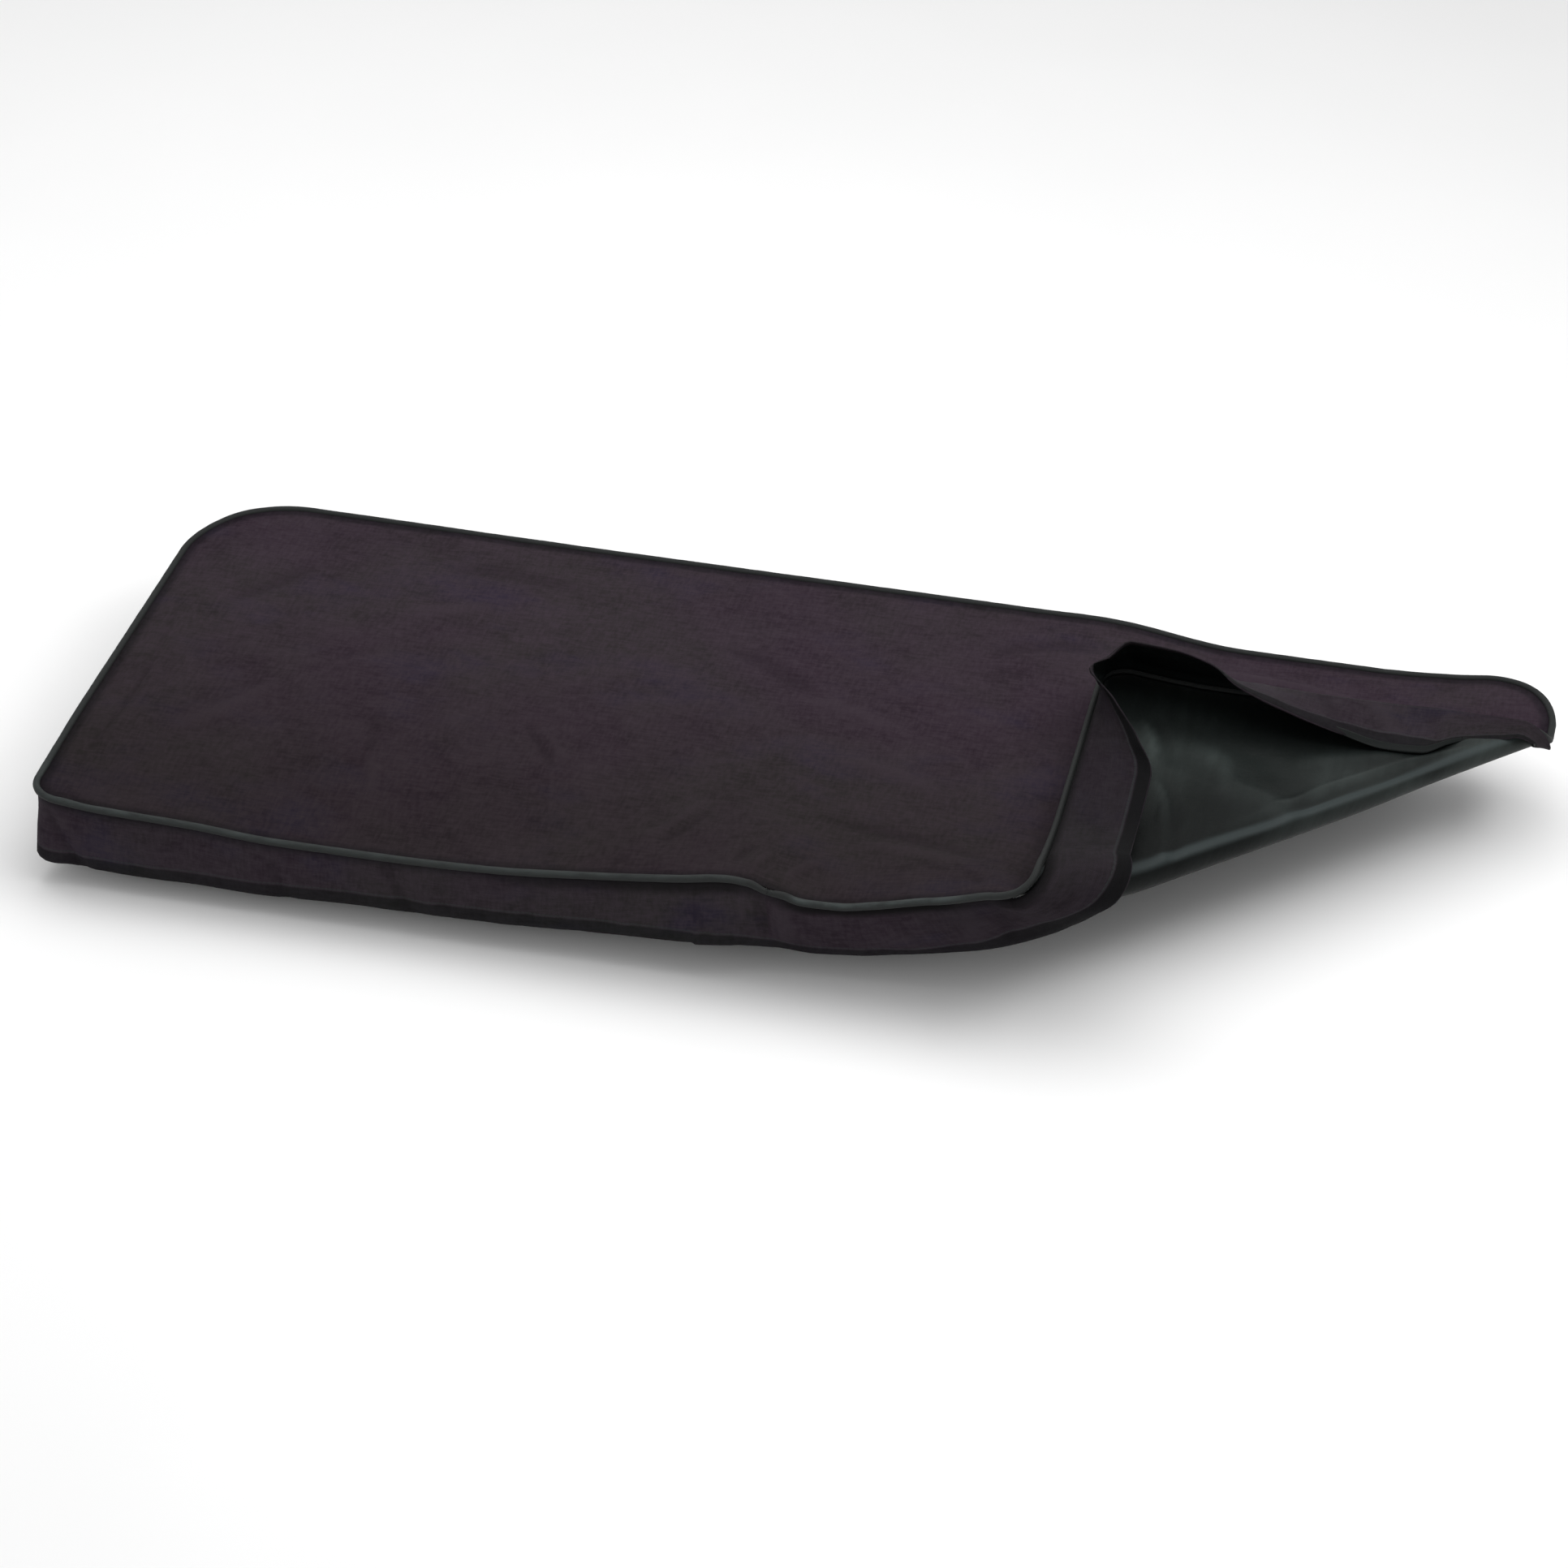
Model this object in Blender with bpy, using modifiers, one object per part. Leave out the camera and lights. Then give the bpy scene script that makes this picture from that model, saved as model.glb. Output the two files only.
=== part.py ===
"""Keyboard dust cover: a coated cloth lid with a piped seam and a hanging skirt.

The cover is hollow, in the shape that it has in use. Its front corner at the +X end is turned
back over the cover along a diagonal roll, so that its coated inside shows. The panel is drawn
flat, rounded at its corners and cut along the roll, then every point of it is carried to where
the cloth lies. Skirt and piping start from the panel's own edge points.

Frame: origin under the middle of the panel, on the flat face that it rests on, +X along its
length, +Y from its front edge to its back edge, +Z up. Metres.
"""
import math
from collections import namedtuple

import bmesh
import bpy
import numpy as np
from mathutils import Vector

# panel
PANEL_LENGTH = 1.162
PANEL_DEPTH = 0.465
FRONT_RADIUS = 0.022
BACK_LEFT_RADIUS = 0.085
BACK_RIGHT_RADIUS = 0.064
CLOTH = 0.002
EDGE_DROOP = 0.002
EDGE_DROOP_WIDTH = 0.030
FRONT_LIFT_WIDTH = 0.130
BACK_SAG_WIDTH = 0.070

# roll of the turned-back corner, at 45 degrees from the front edge to the right-hand edge
ROLL_START_X = 0.197
ROLL_RADIUS_FRONT = 0.0148
ROLL_RADIUS_END = 0.0080
ROLL_RUN = 0.540
ROLL_CUTS = 9

# piping
PIPING_RADIUS = 0.003
PIPING_GAP = 0.0006
PIPING_END_GAP = 0.0012

# skirt
STRIP_WIDTH = 0.070
SKIRT_CLEAR = 0.0010
SKIRT_ROOT = 0.0025
SKIRT_BEND_SHARE = 0.16
MAIN_ROWS = 5
HEM_ROWS = 2
HEM_TURN_DEG = 62.0
HANG_TUCK = 0.05
TURNED_LEFT_END = 1.2
PLAIN_MAIN = 0.046
JOINT_X = 0.020

Span = namedtuple("Span", "start stop pieces")
Level = namedtuple("Level", "at height")
Run = namedtuple("Run", "along x y z")
Share = namedtuple("Share", "along amount")

HALF_LENGTH = PANEL_LENGTH / 2
HALF_DEPTH = PANEL_DEPTH / 2

TOUCH = 1e-5
ARC_MIDDLE = 1 - math.sqrt(0.5)

# how finely the flat panel is divided
LENGTH_SPANS = (
    Span(-HALF_LENGTH, -HALF_LENGTH + FRONT_RADIUS, 2),
    Span(-HALF_LENGTH + FRONT_RADIUS, -HALF_LENGTH + BACK_LEFT_RADIUS, 3),
    Span(-HALF_LENGTH + BACK_LEFT_RADIUS, -0.080, 7),
    Span(-0.080, 0.080, 7),
    Span(0.080, HALF_LENGTH - BACK_RIGHT_RADIUS, 20),
    Span(HALF_LENGTH - BACK_RIGHT_RADIUS, HALF_LENGTH - FRONT_RADIUS, 2),
    Span(HALF_LENGTH - FRONT_RADIUS, HALF_LENGTH, 2),
)
DEPTH_SPANS = (
    Span(-HALF_DEPTH, -HALF_DEPTH + FRONT_RADIUS, 2),
    Span(-HALF_DEPTH + FRONT_RADIUS, HALF_DEPTH - BACK_LEFT_RADIUS, 16),
    Span(HALF_DEPTH - BACK_LEFT_RADIUS, HALF_DEPTH - BACK_RIGHT_RADIUS, 1),
    Span(HALF_DEPTH - BACK_RIGHT_RADIUS, HALF_DEPTH, 3),
)

# height of the front edge along the length: it sags between props and puckers at the piping joint
FRONT_EDGE = (
    Level(-0.585, -0.004), Level(-0.530, -0.010), Level(-0.450, -0.012), Level(-0.380, -0.016),
    Level(-0.280, -0.015), Level(-0.206, -0.012), Level(-0.120, -0.003), Level(-0.053, 0.006),
    Level(-0.008, 0.013), Level(0.020, 0.008), Level(0.050, 0.001), Level(0.075, 0.002),
    Level(0.104, 0.008), Level(0.150, 0.020), Level(0.190, 0.025), Level(0.220, 0.019),
    Level(0.260, 0.008), Level(0.300, 0.000), Level(0.585, 0.000),
)
# height of the back edge along the length
BACK_EDGE = (
    Level(-0.585, 0.000), Level(-0.200, -0.002), Level(0.150, -0.002), Level(0.220, -0.001),
    Level(0.330, -0.006), Level(0.450, -0.006), Level(0.500, -0.005), Level(0.540, 0.000),
    Level(0.585, 0.005),
)
# how much lower the whole cover lies, along the length
LOW_PART = (
    Level(-0.585, 0.000), Level(0.180, 0.000), Level(0.310, -0.009), Level(0.430, -0.009),
    Level(0.520, -0.005), Level(0.585, -0.004),
)

# direction that the skirt runs in round the turned-back corner, against the distance along the
# seam from the middle of that corner, negative towards the front's left end
SKIRT_RUN = (
    Run(-0.620, 0.00, 0.00, -1.00), Run(-0.530, 0.06, 0.37, -0.93), Run(-0.480, 0.28, 0.40, -0.88),
    Run(-0.430, 0.60, 0.42, -0.73), Run(-0.390, 0.83, 0.42, -0.37), Run(-0.360, 0.97, 0.18, 0.10),
    Run(-0.325, 0.99, 0.02, 0.14), Run(-0.240, 0.99, -0.04, 0.08), Run(-0.170, 0.97, -0.12, 0.12),
    Run(-0.110, 0.74, -0.55, 0.36), Run(-0.060, 0.36, -0.76, 0.50), Run(-0.025, 0.00, -0.80, 0.60),
    Run(0.000, -0.03, -0.78, 0.62), Run(0.020, 0.03, -0.73, 0.68), Run(0.055, 0.00, -0.66, 0.75),
    Run(0.085, 0.00, -0.75, 0.66), Run(0.110, 0.00, -0.86, 0.50), Run(0.155, 0.00, -0.96, 0.28),
    Run(0.200, 0.00, -1.00, 0.08), Run(0.235, 0.00, -1.00, -0.06), Run(0.255, 0.00, -1.00, -0.08),
    Run(0.280, 0.00, -0.99, 0.10), Run(0.305, -0.03, -0.92, 0.38), Run(0.330, -0.08, -0.88, 0.46),
    Run(0.350, -0.28, -0.84, 0.46), Run(0.365, -0.61, -0.74, 0.28), Run(0.372, -0.81, -0.57, -0.08),
    Run(0.380, -0.98, -0.08, -0.17), Run(0.395, -0.96, 0.14, -0.26), Run(0.450, -0.88, -0.28, -0.38),
    Run(0.520, -0.55, -0.40, -0.74), Run(0.600, 0.00, -0.30, -0.95),
    Run(0.660, 0.00, -0.05, -1.00),
)
# width of the skirt that shows before its hem turns in
SKIRT_MAIN = (
    Share(-1.200, 0.051), Share(-1.000, 0.046), Share(-0.900, 0.041), Share(-0.800, 0.041),
    Share(-0.700, 0.046), Share(-0.620, 0.052), Share(-0.570, 0.054), Share(-0.500, 0.051),
    Share(-0.400, 0.054), Share(-0.300, 0.057), Share(0.500, 0.057), Share(0.620, 0.046),
)
# share of the strip's width that is left where it is gathered at the end of the roll
SKIRT_GATHER = (
    Share(0.335, 1.00), Share(0.362, 0.55), Share(0.380, 0.55), Share(0.425, 1.00),
)
# how far the hem turns in, as a share of its full turn
HEM_TURN = (
    Share(-0.620, 1.00), Share(-0.500, 0.90), Share(-0.400, 0.40), Share(-0.330, 0.08),
    Share(-0.060, 0.00), Share(0.000, 0.00), Share(0.100, 0.16), Share(0.260, 0.16),
    Share(0.330, 0.06), Share(0.400, 0.16), Share(0.500, 0.66), Share(0.620, 1.00),
)

# colour, roughness, metallic
FINISH = {
    "top_panel": ((0.033, 0.026, 0.031, 1.0), 0.85, 0.0),
    "skirt": ((0.026, 0.022, 0.025, 1.0), 0.85, 0.0),
    "piping": ((0.026, 0.028, 0.029, 1.0), 0.55, 0.0),
}

ALONG_X = Vector((1.0, 0.0, 0.0))
ALONG_Y = Vector((0.0, 1.0, 0.0))
UP = Vector((0.0, 0.0, 1.0))
ACROSS_ROLL = (ALONG_X - ALONG_Y).normalized()
ALONG_ROLL = (ALONG_X + ALONG_Y).normalized()


def ease(value):
    """Smooth step from 0 to 1."""
    t = min(max(value, 0.0), 1.0)
    return t * t * (3 - 2 * t)


def row_slopes(places, values):
    """Slope at each row of a table: level at a high or low row, so that no line overshoots."""
    rises = np.diff(values) / np.diff(places)
    slopes = np.zeros(len(values))
    for k in range(1, len(values) - 1):
        if rises[k - 1] * rises[k] > 0:
            slopes[k] = 2 * rises[k - 1] * rises[k] / (rises[k - 1] + rises[k])
    return slopes


def read_table(rows, column, at):
    """Value of a table's column at a place along it, on a smooth line through its rows."""
    places = np.array([row[0] for row in rows])
    values = np.array([getattr(row, column) for row in rows])
    slopes = row_slopes(places, values)
    at = min(max(at, places[0]), places[-1])
    k = min(max(int(np.searchsorted(places, at)) - 1, 0), len(rows) - 2)
    step = places[k + 1] - places[k]
    t = (at - places[k]) / step
    start = (1 + 2 * t) * (1 - t) ** 2 * values[k] + t * (1 - t) ** 2 * step * slopes[k]
    stop = t * t * (3 - 2 * t) * values[k + 1] + t * t * (t - 1) * step * slopes[k + 1]
    return float(start + stop)


def lift(x, y):
    """Height of the cloth above the flat face, before it rolls."""
    front = read_table(FRONT_EDGE, "height", x) * (1 - ease((y + HALF_DEPTH) / FRONT_LIFT_WIDTH))
    back = read_table(BACK_EDGE, "height", x) * (1 - ease((HALF_DEPTH - y) / BACK_SAG_WIDTH))
    left = -EDGE_DROOP * (1 - ease((x + HALF_LENGTH) / EDGE_DROOP_WIDTH))
    return front + back + left + read_table(LOW_PART, "height", x)


def carry(x, y):
    """Where a point of the flat panel lies: still flat, round the roll or turned back."""
    over = ((x - ROLL_START_X) - (y + HALF_DEPTH)) / math.sqrt(2)
    along = ((x - ROLL_START_X) + (y + HALF_DEPTH)) / math.sqrt(2)
    share = min(max(along / ROLL_RUN, 0.0), 1.0)
    radius = ROLL_RADIUS_FRONT + (ROLL_RADIUS_END - ROLL_RADIUS_FRONT) * share
    turn = min(max(over / radius, 0.0), math.pi)
    across = radius * math.sin(turn) + min(over, 0.0) - max(over - math.pi * radius, 0.0)
    place = Vector((ROLL_START_X, -HALF_DEPTH, 0.0)) + ALONG_ROLL * along + ACROSS_ROLL * across
    place.z = radius * (1 - math.cos(turn)) + lift(place.x, place.y)
    return place


def edge_frame(station):
    """Edge point, direction straight out of the panel, outer normal and direction of the seam."""
    small = 0.0001
    here = carry(station.x, station.y)
    dx = (carry(station.x + small, station.y) - carry(station.x - small, station.y)) / (2 * small)
    dy = (carry(station.x, station.y + small) - carry(station.x, station.y - small)) / (2 * small)
    normal = dx.cross(dy).normalized()
    out = (dx * station.out_x + dy * station.out_y).normalized()
    return here, out, normal, normal.cross(out).normalized()


def span_lines(spans):
    """Places of the grid's lines."""
    lines = [spans[0].start]
    for span in spans:
        for k in range(span.pieces):
            lines.append(span.start + (span.stop - span.start) * (k + 1) / span.pieces)
    return lines


def corner_of(x, y):
    """Centre and radius of the rounded corner that a point lies in, or None."""
    radius = FRONT_RADIUS if y < 0 else BACK_LEFT_RADIUS if x < 0 else BACK_RIGHT_RADIUS
    centre_x = math.copysign(HALF_LENGTH - radius, x)
    centre_y = math.copysign(HALF_DEPTH - radius, y)
    if abs(x) <= abs(centre_x) or abs(y) <= abs(centre_y):
        return None
    return centre_x, centre_y, radius


def round_corner(x, y):
    """Move a point of a square corner to its place in the rounded one."""
    corner = corner_of(x, y)
    if corner is None:
        return x, y
    centre_x, centre_y, radius = corner
    a = abs(x - centre_x) / radius
    b = abs(y - centre_y) / radius
    angle = math.pi / 4 * b / a if a >= b else math.pi / 2 - math.pi / 4 * a / b
    reach = max(a, b) * radius
    return (centre_x + math.copysign(reach * math.cos(angle), x),
            centre_y + math.copysign(reach * math.sin(angle), y))


def flat_panel():
    """The panel as it was cut: a rounded rectangle with lines along the roll."""
    xs = span_lines(LENGTH_SPANS)
    ys = span_lines(DEPTH_SPANS)
    bm = bmesh.new()
    bmesh.ops.create_grid(bm, x_segments=len(xs) - 1, y_segments=len(ys) - 1, size=1.0)
    for vert in bm.verts:
        column = round((vert.co.x + 1) / 2 * (len(xs) - 1))
        row = round((vert.co.y + 1) / 2 * (len(ys) - 1))
        vert.co.x, vert.co.y = round_corner(xs[column], ys[row])
    for k in range(ROLL_CUTS + 1):
        over = math.pi * ROLL_RADIUS_FRONT * k / ROLL_CUTS
        foot = Vector((ROLL_START_X, -HALF_DEPTH, 0.0)) + ACROSS_ROLL * over
        bmesh.ops.bisect_plane(bm, geom=bm.verts[:] + bm.edges[:] + bm.faces[:], dist=0.0015,
                               plane_co=foot, plane_no=ACROSS_ROLL)
    bmesh.ops.remove_doubles(bm, verts=bm.verts, dist=0.0001)
    bmesh.ops.triangulate(bm, faces=bm.faces)
    return bm


Station = namedtuple("Station", "x y out_x out_y along")


def rim_stations(bm):
    """Edge points of the flat panel in order round it, from the joint at the front."""
    rim = [edge for edge in bm.edges if len(edge.link_faces) == 1]
    after = {}
    for edge in rim:
        for a, b in (edge.verts, reversed(edge.verts)):
            after.setdefault(a, []).append(b)
    front = [vert for vert in after if vert.co.y < -HALF_DEPTH + TOUCH]
    start = min(front, key=lambda vert: abs(vert.co.x - JOINT_X))
    order = [start]
    order.append(max(after[start], key=lambda v: v.co.x))
    while True:
        ahead = [v for v in after[order[-1]] if v is not order[-2]][0]
        if ahead is start:
            break
        order.append(ahead)
    length = [0.0]
    for a, b in zip(order, order[1:]):
        length.append(length[-1] + (b.co - a.co).length)
    inset = ARC_MIDDLE * FRONT_RADIUS
    middle = Vector((HALF_LENGTH - inset, -HALF_DEPTH + inset))
    corner = min(range(len(order)), key=lambda k: (order[k].co.xy - middle).length)
    round_trip = length[-1] + (order[0].co - order[-1].co).length
    stations = []
    for vert, reach in zip(order, length):
        x, y = vert.co.x, vert.co.y
        found = corner_of(x, y)
        if found:
            out = (vert.co.xy - Vector(found[:2])).normalized()
        elif abs(abs(x) - HALF_LENGTH) < TOUCH:
            out = Vector((math.copysign(1.0, x), 0.0))
        else:
            out = Vector((0.0, math.copysign(1.0, y)))
        along = reach - length[corner]
        if y < 0 and out.y < 0 and along > TURNED_LEFT_END:
            along -= round_trip
        stations.append(Station(x, y, out.x, out.y, along))
    return stations


def piping_centre(station):
    """Centre of the cord in the seam."""
    here, out, normal, seam = edge_frame(station)
    return here + out * (PIPING_RADIUS + PIPING_GAP)


def skirt_line(station):
    """Points down the middle of the skirt's cloth, from the seam to the hem's edge."""
    here, out, normal, seam = edge_frame(station)
    point = piping_centre(station) - normal * (PIPING_RADIUS + SKIRT_CLEAR)
    turned = SKIRT_RUN[0].along <= station.along <= SKIRT_RUN[-1].along
    if turned:
        run = Vector([read_table(SKIRT_RUN, axis, station.along) for axis in ("x", "y", "z")])
    else:
        run = -UP - out * HANG_TUCK
    run.normalize()
    main = PLAIN_MAIN
    turn = math.radians(HEM_TURN_DEG)
    if station.along < SKIRT_MAIN[-1].along:
        main = read_table(SKIRT_MAIN, "amount", station.along)
        turn *= read_table(HEM_TURN, "amount", station.along)
    gather = read_table(SKIRT_GATHER, "amount", station.along)
    hem = (STRIP_WIDTH - SKIRT_ROOT - main) * gather
    main *= gather
    inward = seam.cross(run).normalized()
    line = [point]
    point = point - normal * SKIRT_ROOT
    line.append(point)
    for k in range(MAIN_ROWS):
        bend = ease((k + 0.5) / MAIN_ROWS / SKIRT_BEND_SHARE)
        point = point + (-normal * (1 - bend) + run * bend).normalized() * main / MAIN_ROWS
        line.append(point)
    for k in range(HEM_ROWS):
        angle = turn * (k + 1) * 2 / (HEM_ROWS + 1)
        point = point + (run * math.cos(angle) + inward * math.sin(angle)) * hem / HEM_ROWS
        line.append(point)
    return line


def add_object(name, data, collection):
    """Put a piece in the cover's collection with its own material."""
    colour, roughness, metallic = FINISH[name]
    material = bpy.data.materials.new(name)
    material.use_nodes = True
    shader = material.node_tree.nodes["Principled BSDF"]
    shader.inputs["Base Color"].default_value = colour
    shader.inputs["Roughness"].default_value = roughness
    shader.inputs["Metallic"].default_value = metallic
    data.materials.append(material)
    piece = bpy.data.objects.new(name, data)
    collection.objects.link(piece)
    return piece


def thicken(piece):
    """Give a sheet its thickness, half to each side."""
    solid = piece.modifiers.new("cloth", "SOLIDIFY")
    solid.thickness = CLOTH
    solid.offset = 0.0


def mesh_from(bm, name):
    """Finish a bmesh as mesh data with its faces turned one way."""
    bmesh.ops.recalc_face_normals(bm, faces=bm.faces)
    mesh = bpy.data.meshes.new(name)
    bm.to_mesh(mesh)
    bm.free()
    return mesh


def build_panel(bm, collection):
    """The top panel with its turned-back corner."""
    for vert in bm.verts:
        vert.co = carry(vert.co.x, vert.co.y)
    thicken(add_object("top_panel", mesh_from(bm, "top_panel"), collection))


def build_piping(stations, collection):
    """The cord round the panel, whose ends meet at the front."""
    points = [piping_centre(station) for station in stations]
    points.append(points[0].copy())
    first = (points[1] - points[0]).normalized()
    last = (points[-2] - points[-1]).normalized()
    points[0] = points[0] + first * PIPING_END_GAP / 2
    points[-1] = points[-1] + last * PIPING_END_GAP / 2
    curve = bpy.data.curves.new("piping", "CURVE")
    curve.dimensions = "3D"
    curve.bevel_depth = PIPING_RADIUS
    curve.bevel_resolution = 2
    curve.use_fill_caps = True
    spline = curve.splines.new("POLY")
    spline.points.add(len(points) - 1)
    for slot, point in zip(spline.points, points):
        slot.co = (*point, 1.0)
    add_object("piping", curve, collection)


def build_skirt(stations, collection):
    """The strip sewn all round the panel, one ring of cloth."""
    lines = [skirt_line(station) for station in stations]
    lines.append(lines[0])
    rows = len(lines[0])
    bm = bmesh.new()
    bmesh.ops.create_grid(bm, x_segments=len(lines) - 1, y_segments=rows - 1, size=1.0)
    for vert in bm.verts:
        column = round((vert.co.x + 1) / 2 * (len(lines) - 1))
        row = round((vert.co.y + 1) / 2 * (rows - 1))
        vert.co = lines[column][row]
    bmesh.ops.remove_doubles(bm, verts=bm.verts, dist=0.0001)
    bmesh.ops.triangulate(bm, faces=bm.faces)
    thicken(add_object("skirt", mesh_from(bm, "skirt"), collection))


def main():
    for old in list(bpy.data.objects):
        bpy.data.objects.remove(old, do_unlink=True)
    collection = bpy.data.collections.new("keyboard_dust_cover")
    bpy.context.scene.collection.children.link(collection)
    flat = flat_panel()
    stations = rim_stations(flat)
    build_skirt(stations, collection)
    build_piping(stations, collection)
    build_panel(flat, collection)


main()
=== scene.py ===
"""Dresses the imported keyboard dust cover: woven cloth outside, grey-green coating inside, piping.

The cover's cloth is one flat cut that is carried to where it lies, as in the part's own source.
Places are in metres in the part's frame. +X runs along the cover, +Y from its front edge to its
back edge and +Z up. A place called along is the distance round the seam from the middle of the
turned-back corner.
"""
import math
from collections import namedtuple

import bpy
import numpy as np
from mathutils import Matrix, Vector, noise


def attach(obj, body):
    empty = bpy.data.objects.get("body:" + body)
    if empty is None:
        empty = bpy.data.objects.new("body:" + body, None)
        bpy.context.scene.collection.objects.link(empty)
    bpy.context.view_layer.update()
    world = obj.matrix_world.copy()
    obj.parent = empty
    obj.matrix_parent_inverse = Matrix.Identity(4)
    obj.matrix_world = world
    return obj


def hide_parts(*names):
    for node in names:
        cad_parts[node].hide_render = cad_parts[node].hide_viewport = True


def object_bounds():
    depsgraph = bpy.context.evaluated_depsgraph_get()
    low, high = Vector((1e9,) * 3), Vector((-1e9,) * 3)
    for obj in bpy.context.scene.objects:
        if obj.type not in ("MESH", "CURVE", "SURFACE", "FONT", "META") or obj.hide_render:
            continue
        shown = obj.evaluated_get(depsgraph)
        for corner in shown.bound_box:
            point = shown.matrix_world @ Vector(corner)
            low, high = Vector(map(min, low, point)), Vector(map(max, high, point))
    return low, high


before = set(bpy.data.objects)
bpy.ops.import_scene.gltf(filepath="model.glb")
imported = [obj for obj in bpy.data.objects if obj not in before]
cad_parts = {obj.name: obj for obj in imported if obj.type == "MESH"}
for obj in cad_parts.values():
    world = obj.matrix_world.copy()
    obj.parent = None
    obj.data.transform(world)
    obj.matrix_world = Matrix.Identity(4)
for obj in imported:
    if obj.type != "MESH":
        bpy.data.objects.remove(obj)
CAD_BOX = [list(corner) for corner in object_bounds()]

bl_info = {
    "name": "Keyboard dust cover",
    "version": (1, 0, 0),
    "blender": (4, 5, 0),
    "location": "3D View > Sidebar > Dust cover",
    "description": "Makes the cloth, coating and piping of a keyboard dust cover",
    "category": "Object",
}

# the flat cut of the panel
PANEL_LENGTH = 1.162
PANEL_DEPTH = 0.465
FRONT_RADIUS = 0.022
BACK_LEFT_RADIUS = 0.085
BACK_RIGHT_RADIUS = 0.064
HALF_LENGTH = PANEL_LENGTH / 2
HALF_DEPTH = PANEL_DEPTH / 2
EDGE_DROOP = 0.002
EDGE_DROOP_WIDTH = 0.030
FRONT_LIFT_WIDTH = 0.130
BACK_SAG_WIDTH = 0.070
GRID_STEP = 0.004

# unevenness of the panel: share, scale and seed of each noise
PANEL_RIPPLES = ((0.65, 7.0, 1.3), (0.35, 19.0, 4.1), (0.16, 46.0, 7.7))
LINING_UNEVEN = 1.6
CALM_EDGE = 0.004
CALM_WIDTH = 0.030
CALM_ON_ROLL = 0.7
PUCKER_HEIGHT = 0.00045
PUCKER_AWAY = 0.006
PUCKER_SPREAD = 0.00006
EDGE_DIP = 0.0013
EDGE_DIP_WIDTH = 0.009
EDGE_DIP_START = 0.0015
CREASE_BOW = 0.048
FLAT_GAIN = 1.5

# the roll that turns the corner back
ROLL_START_X = 0.197
ROLL_RADIUS_FRONT = 0.0148
ROLL_RADIUS_END = 0.0080
ROLL_RUN = 0.540

# the cloth bulges where the roll meets the front edge
PUFF_X = 0.215
PUFF_Y = -0.235
PUFF_REACH = 0.035
PUFF_HEIGHT = 0.012

# piping in the seam
PIPING_RADIUS = 0.003
PIPING_GAP = 0.0006
EDGE_REACH = 0.0009
PIPING_STEP = 0.003
PIPING_SIDES = 12
PIPING_LUMPS = ((0.05, 90.0, 3.3), (0.03, 260.0, 5.1))
END_TUCK = 0.007
END_DOWN = 0.0016
END_OUT = 0.0006
END_THIN = 0.25
KNOT_HEIGHT = 0.0006
KNOT_AWAY = 0.014
KNOT_WIDTH = 0.004
CAP_ROUND = 0.0006
BIAS_PITCH = 0.0007

# the skirt and its hem
STRIP_WIDTH = 0.070
SKIRT_CLEAR = 0.0010
SKIRT_ROOT = 0.0025
SKIRT_BEND_SHARE = 0.16
HEM_TURN = math.radians(62)
HANG_TUCK = 0.05
PLAIN_MAIN = 0.051
SKIRT_STEP = 0.004
MAIN_ROWS = 14
HEM_ROWS = 7
HEM_FOLD = 0.012
HEM_FOLD_GAP = 0.0013
JOINT_X = 0.020
HEM_BAND = 0.0085
HEM_LINE = STRIP_WIDTH - HEM_BAND
STITCH_GAP = 0.0016
STITCH_WIDTH = 0.0008
STITCH_SHARE = 0.72
HEM_TURNED = 0.75
HEM_SMOOTH = 6
SKIRT_TOP_GAP = 0.0002
MERGE_GAP = 0.00002
CORNER_PULL = 0.008
CORNER_PULL_WIDTH = 0.016
JOINT_DIP = 0.0018
JOINT_DIP_WIDTH = 0.0022
RECESS_REACH = 0.6
LOOSE_FROM = 0.3
HEM_FROM = 0.62
HEM_LOOSE = 0.75

# distances over which the numbers kept on a mesh go from 0 to 1
SEAM_SPAN = 0.02
HEM_SPAN = 0.02
CREASE_SPAN = 0.006

# how far each noise of the cloth is stretched along it and across it
SLUBS = (72.0, 300.0, 1.0)
LONG_THREADS = (40.0, 720.0, 1.0)
WARPS = (330.0, 80.0, 1.0)
EVEN = (1.0, 1.0, 1.0)

# what the colours are multiplied by; most of them give painted shade
# darker threads, and painted shade in the valleys of creases
DARK_THREADS_AND_CREASE_SHADE = (0.72, 0.70, 0.72, 1.0)
SEAM_SHADOW = (0.56, 0.60, 0.60, 1.0)
# painted shade, darker toward the front edge of the panel
FRONT_SHADE = (0.66, 0.69, 0.61, 1.0)
# the skirt drawn a little darker and greener than the panel, though it is the same cloth
SKIRT_TINT = (0.86, 0.94, 0.88, 1.0)
STRIP_SHADOW = (0.58, 0.60, 0.60, 1.0)
HEM_SHADOW = (0.46, 0.54, 0.50, 1.0)
COATING_SHADOW = (0.16, 0.17, 0.17, 1.0)
LINING_SHADOW = (0.23, 0.235, 0.24, 1.0)

# painted shadow: the darkest places of the skirt, close under the piping and on the hem where the
# skirt is turned back
TUCK_SHADOW_COLOUR = (0.0035, 0.0032, 0.0035, 1.0)
HEM_DEEP_SHADOW = (0.0025, 0.0025, 0.0028, 1.0)

# gloss, and depth of the bumps in metres
CLOTH_GLOSS = 0.07
COATING_GLOSS = 0.08
PIPING_GLOSS = 0.25
CLOTH_BUMP = 0.0004
COATING_BUMP = 0.0005
PIPING_BUMP = 0.0003

# the floor and the light
FLOOR_SIZE = 40.0
FLOOR_SHADE = 0.985
FLOOR_GLOSS = 0.1
SKY_STRENGTH = 0.64

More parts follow.
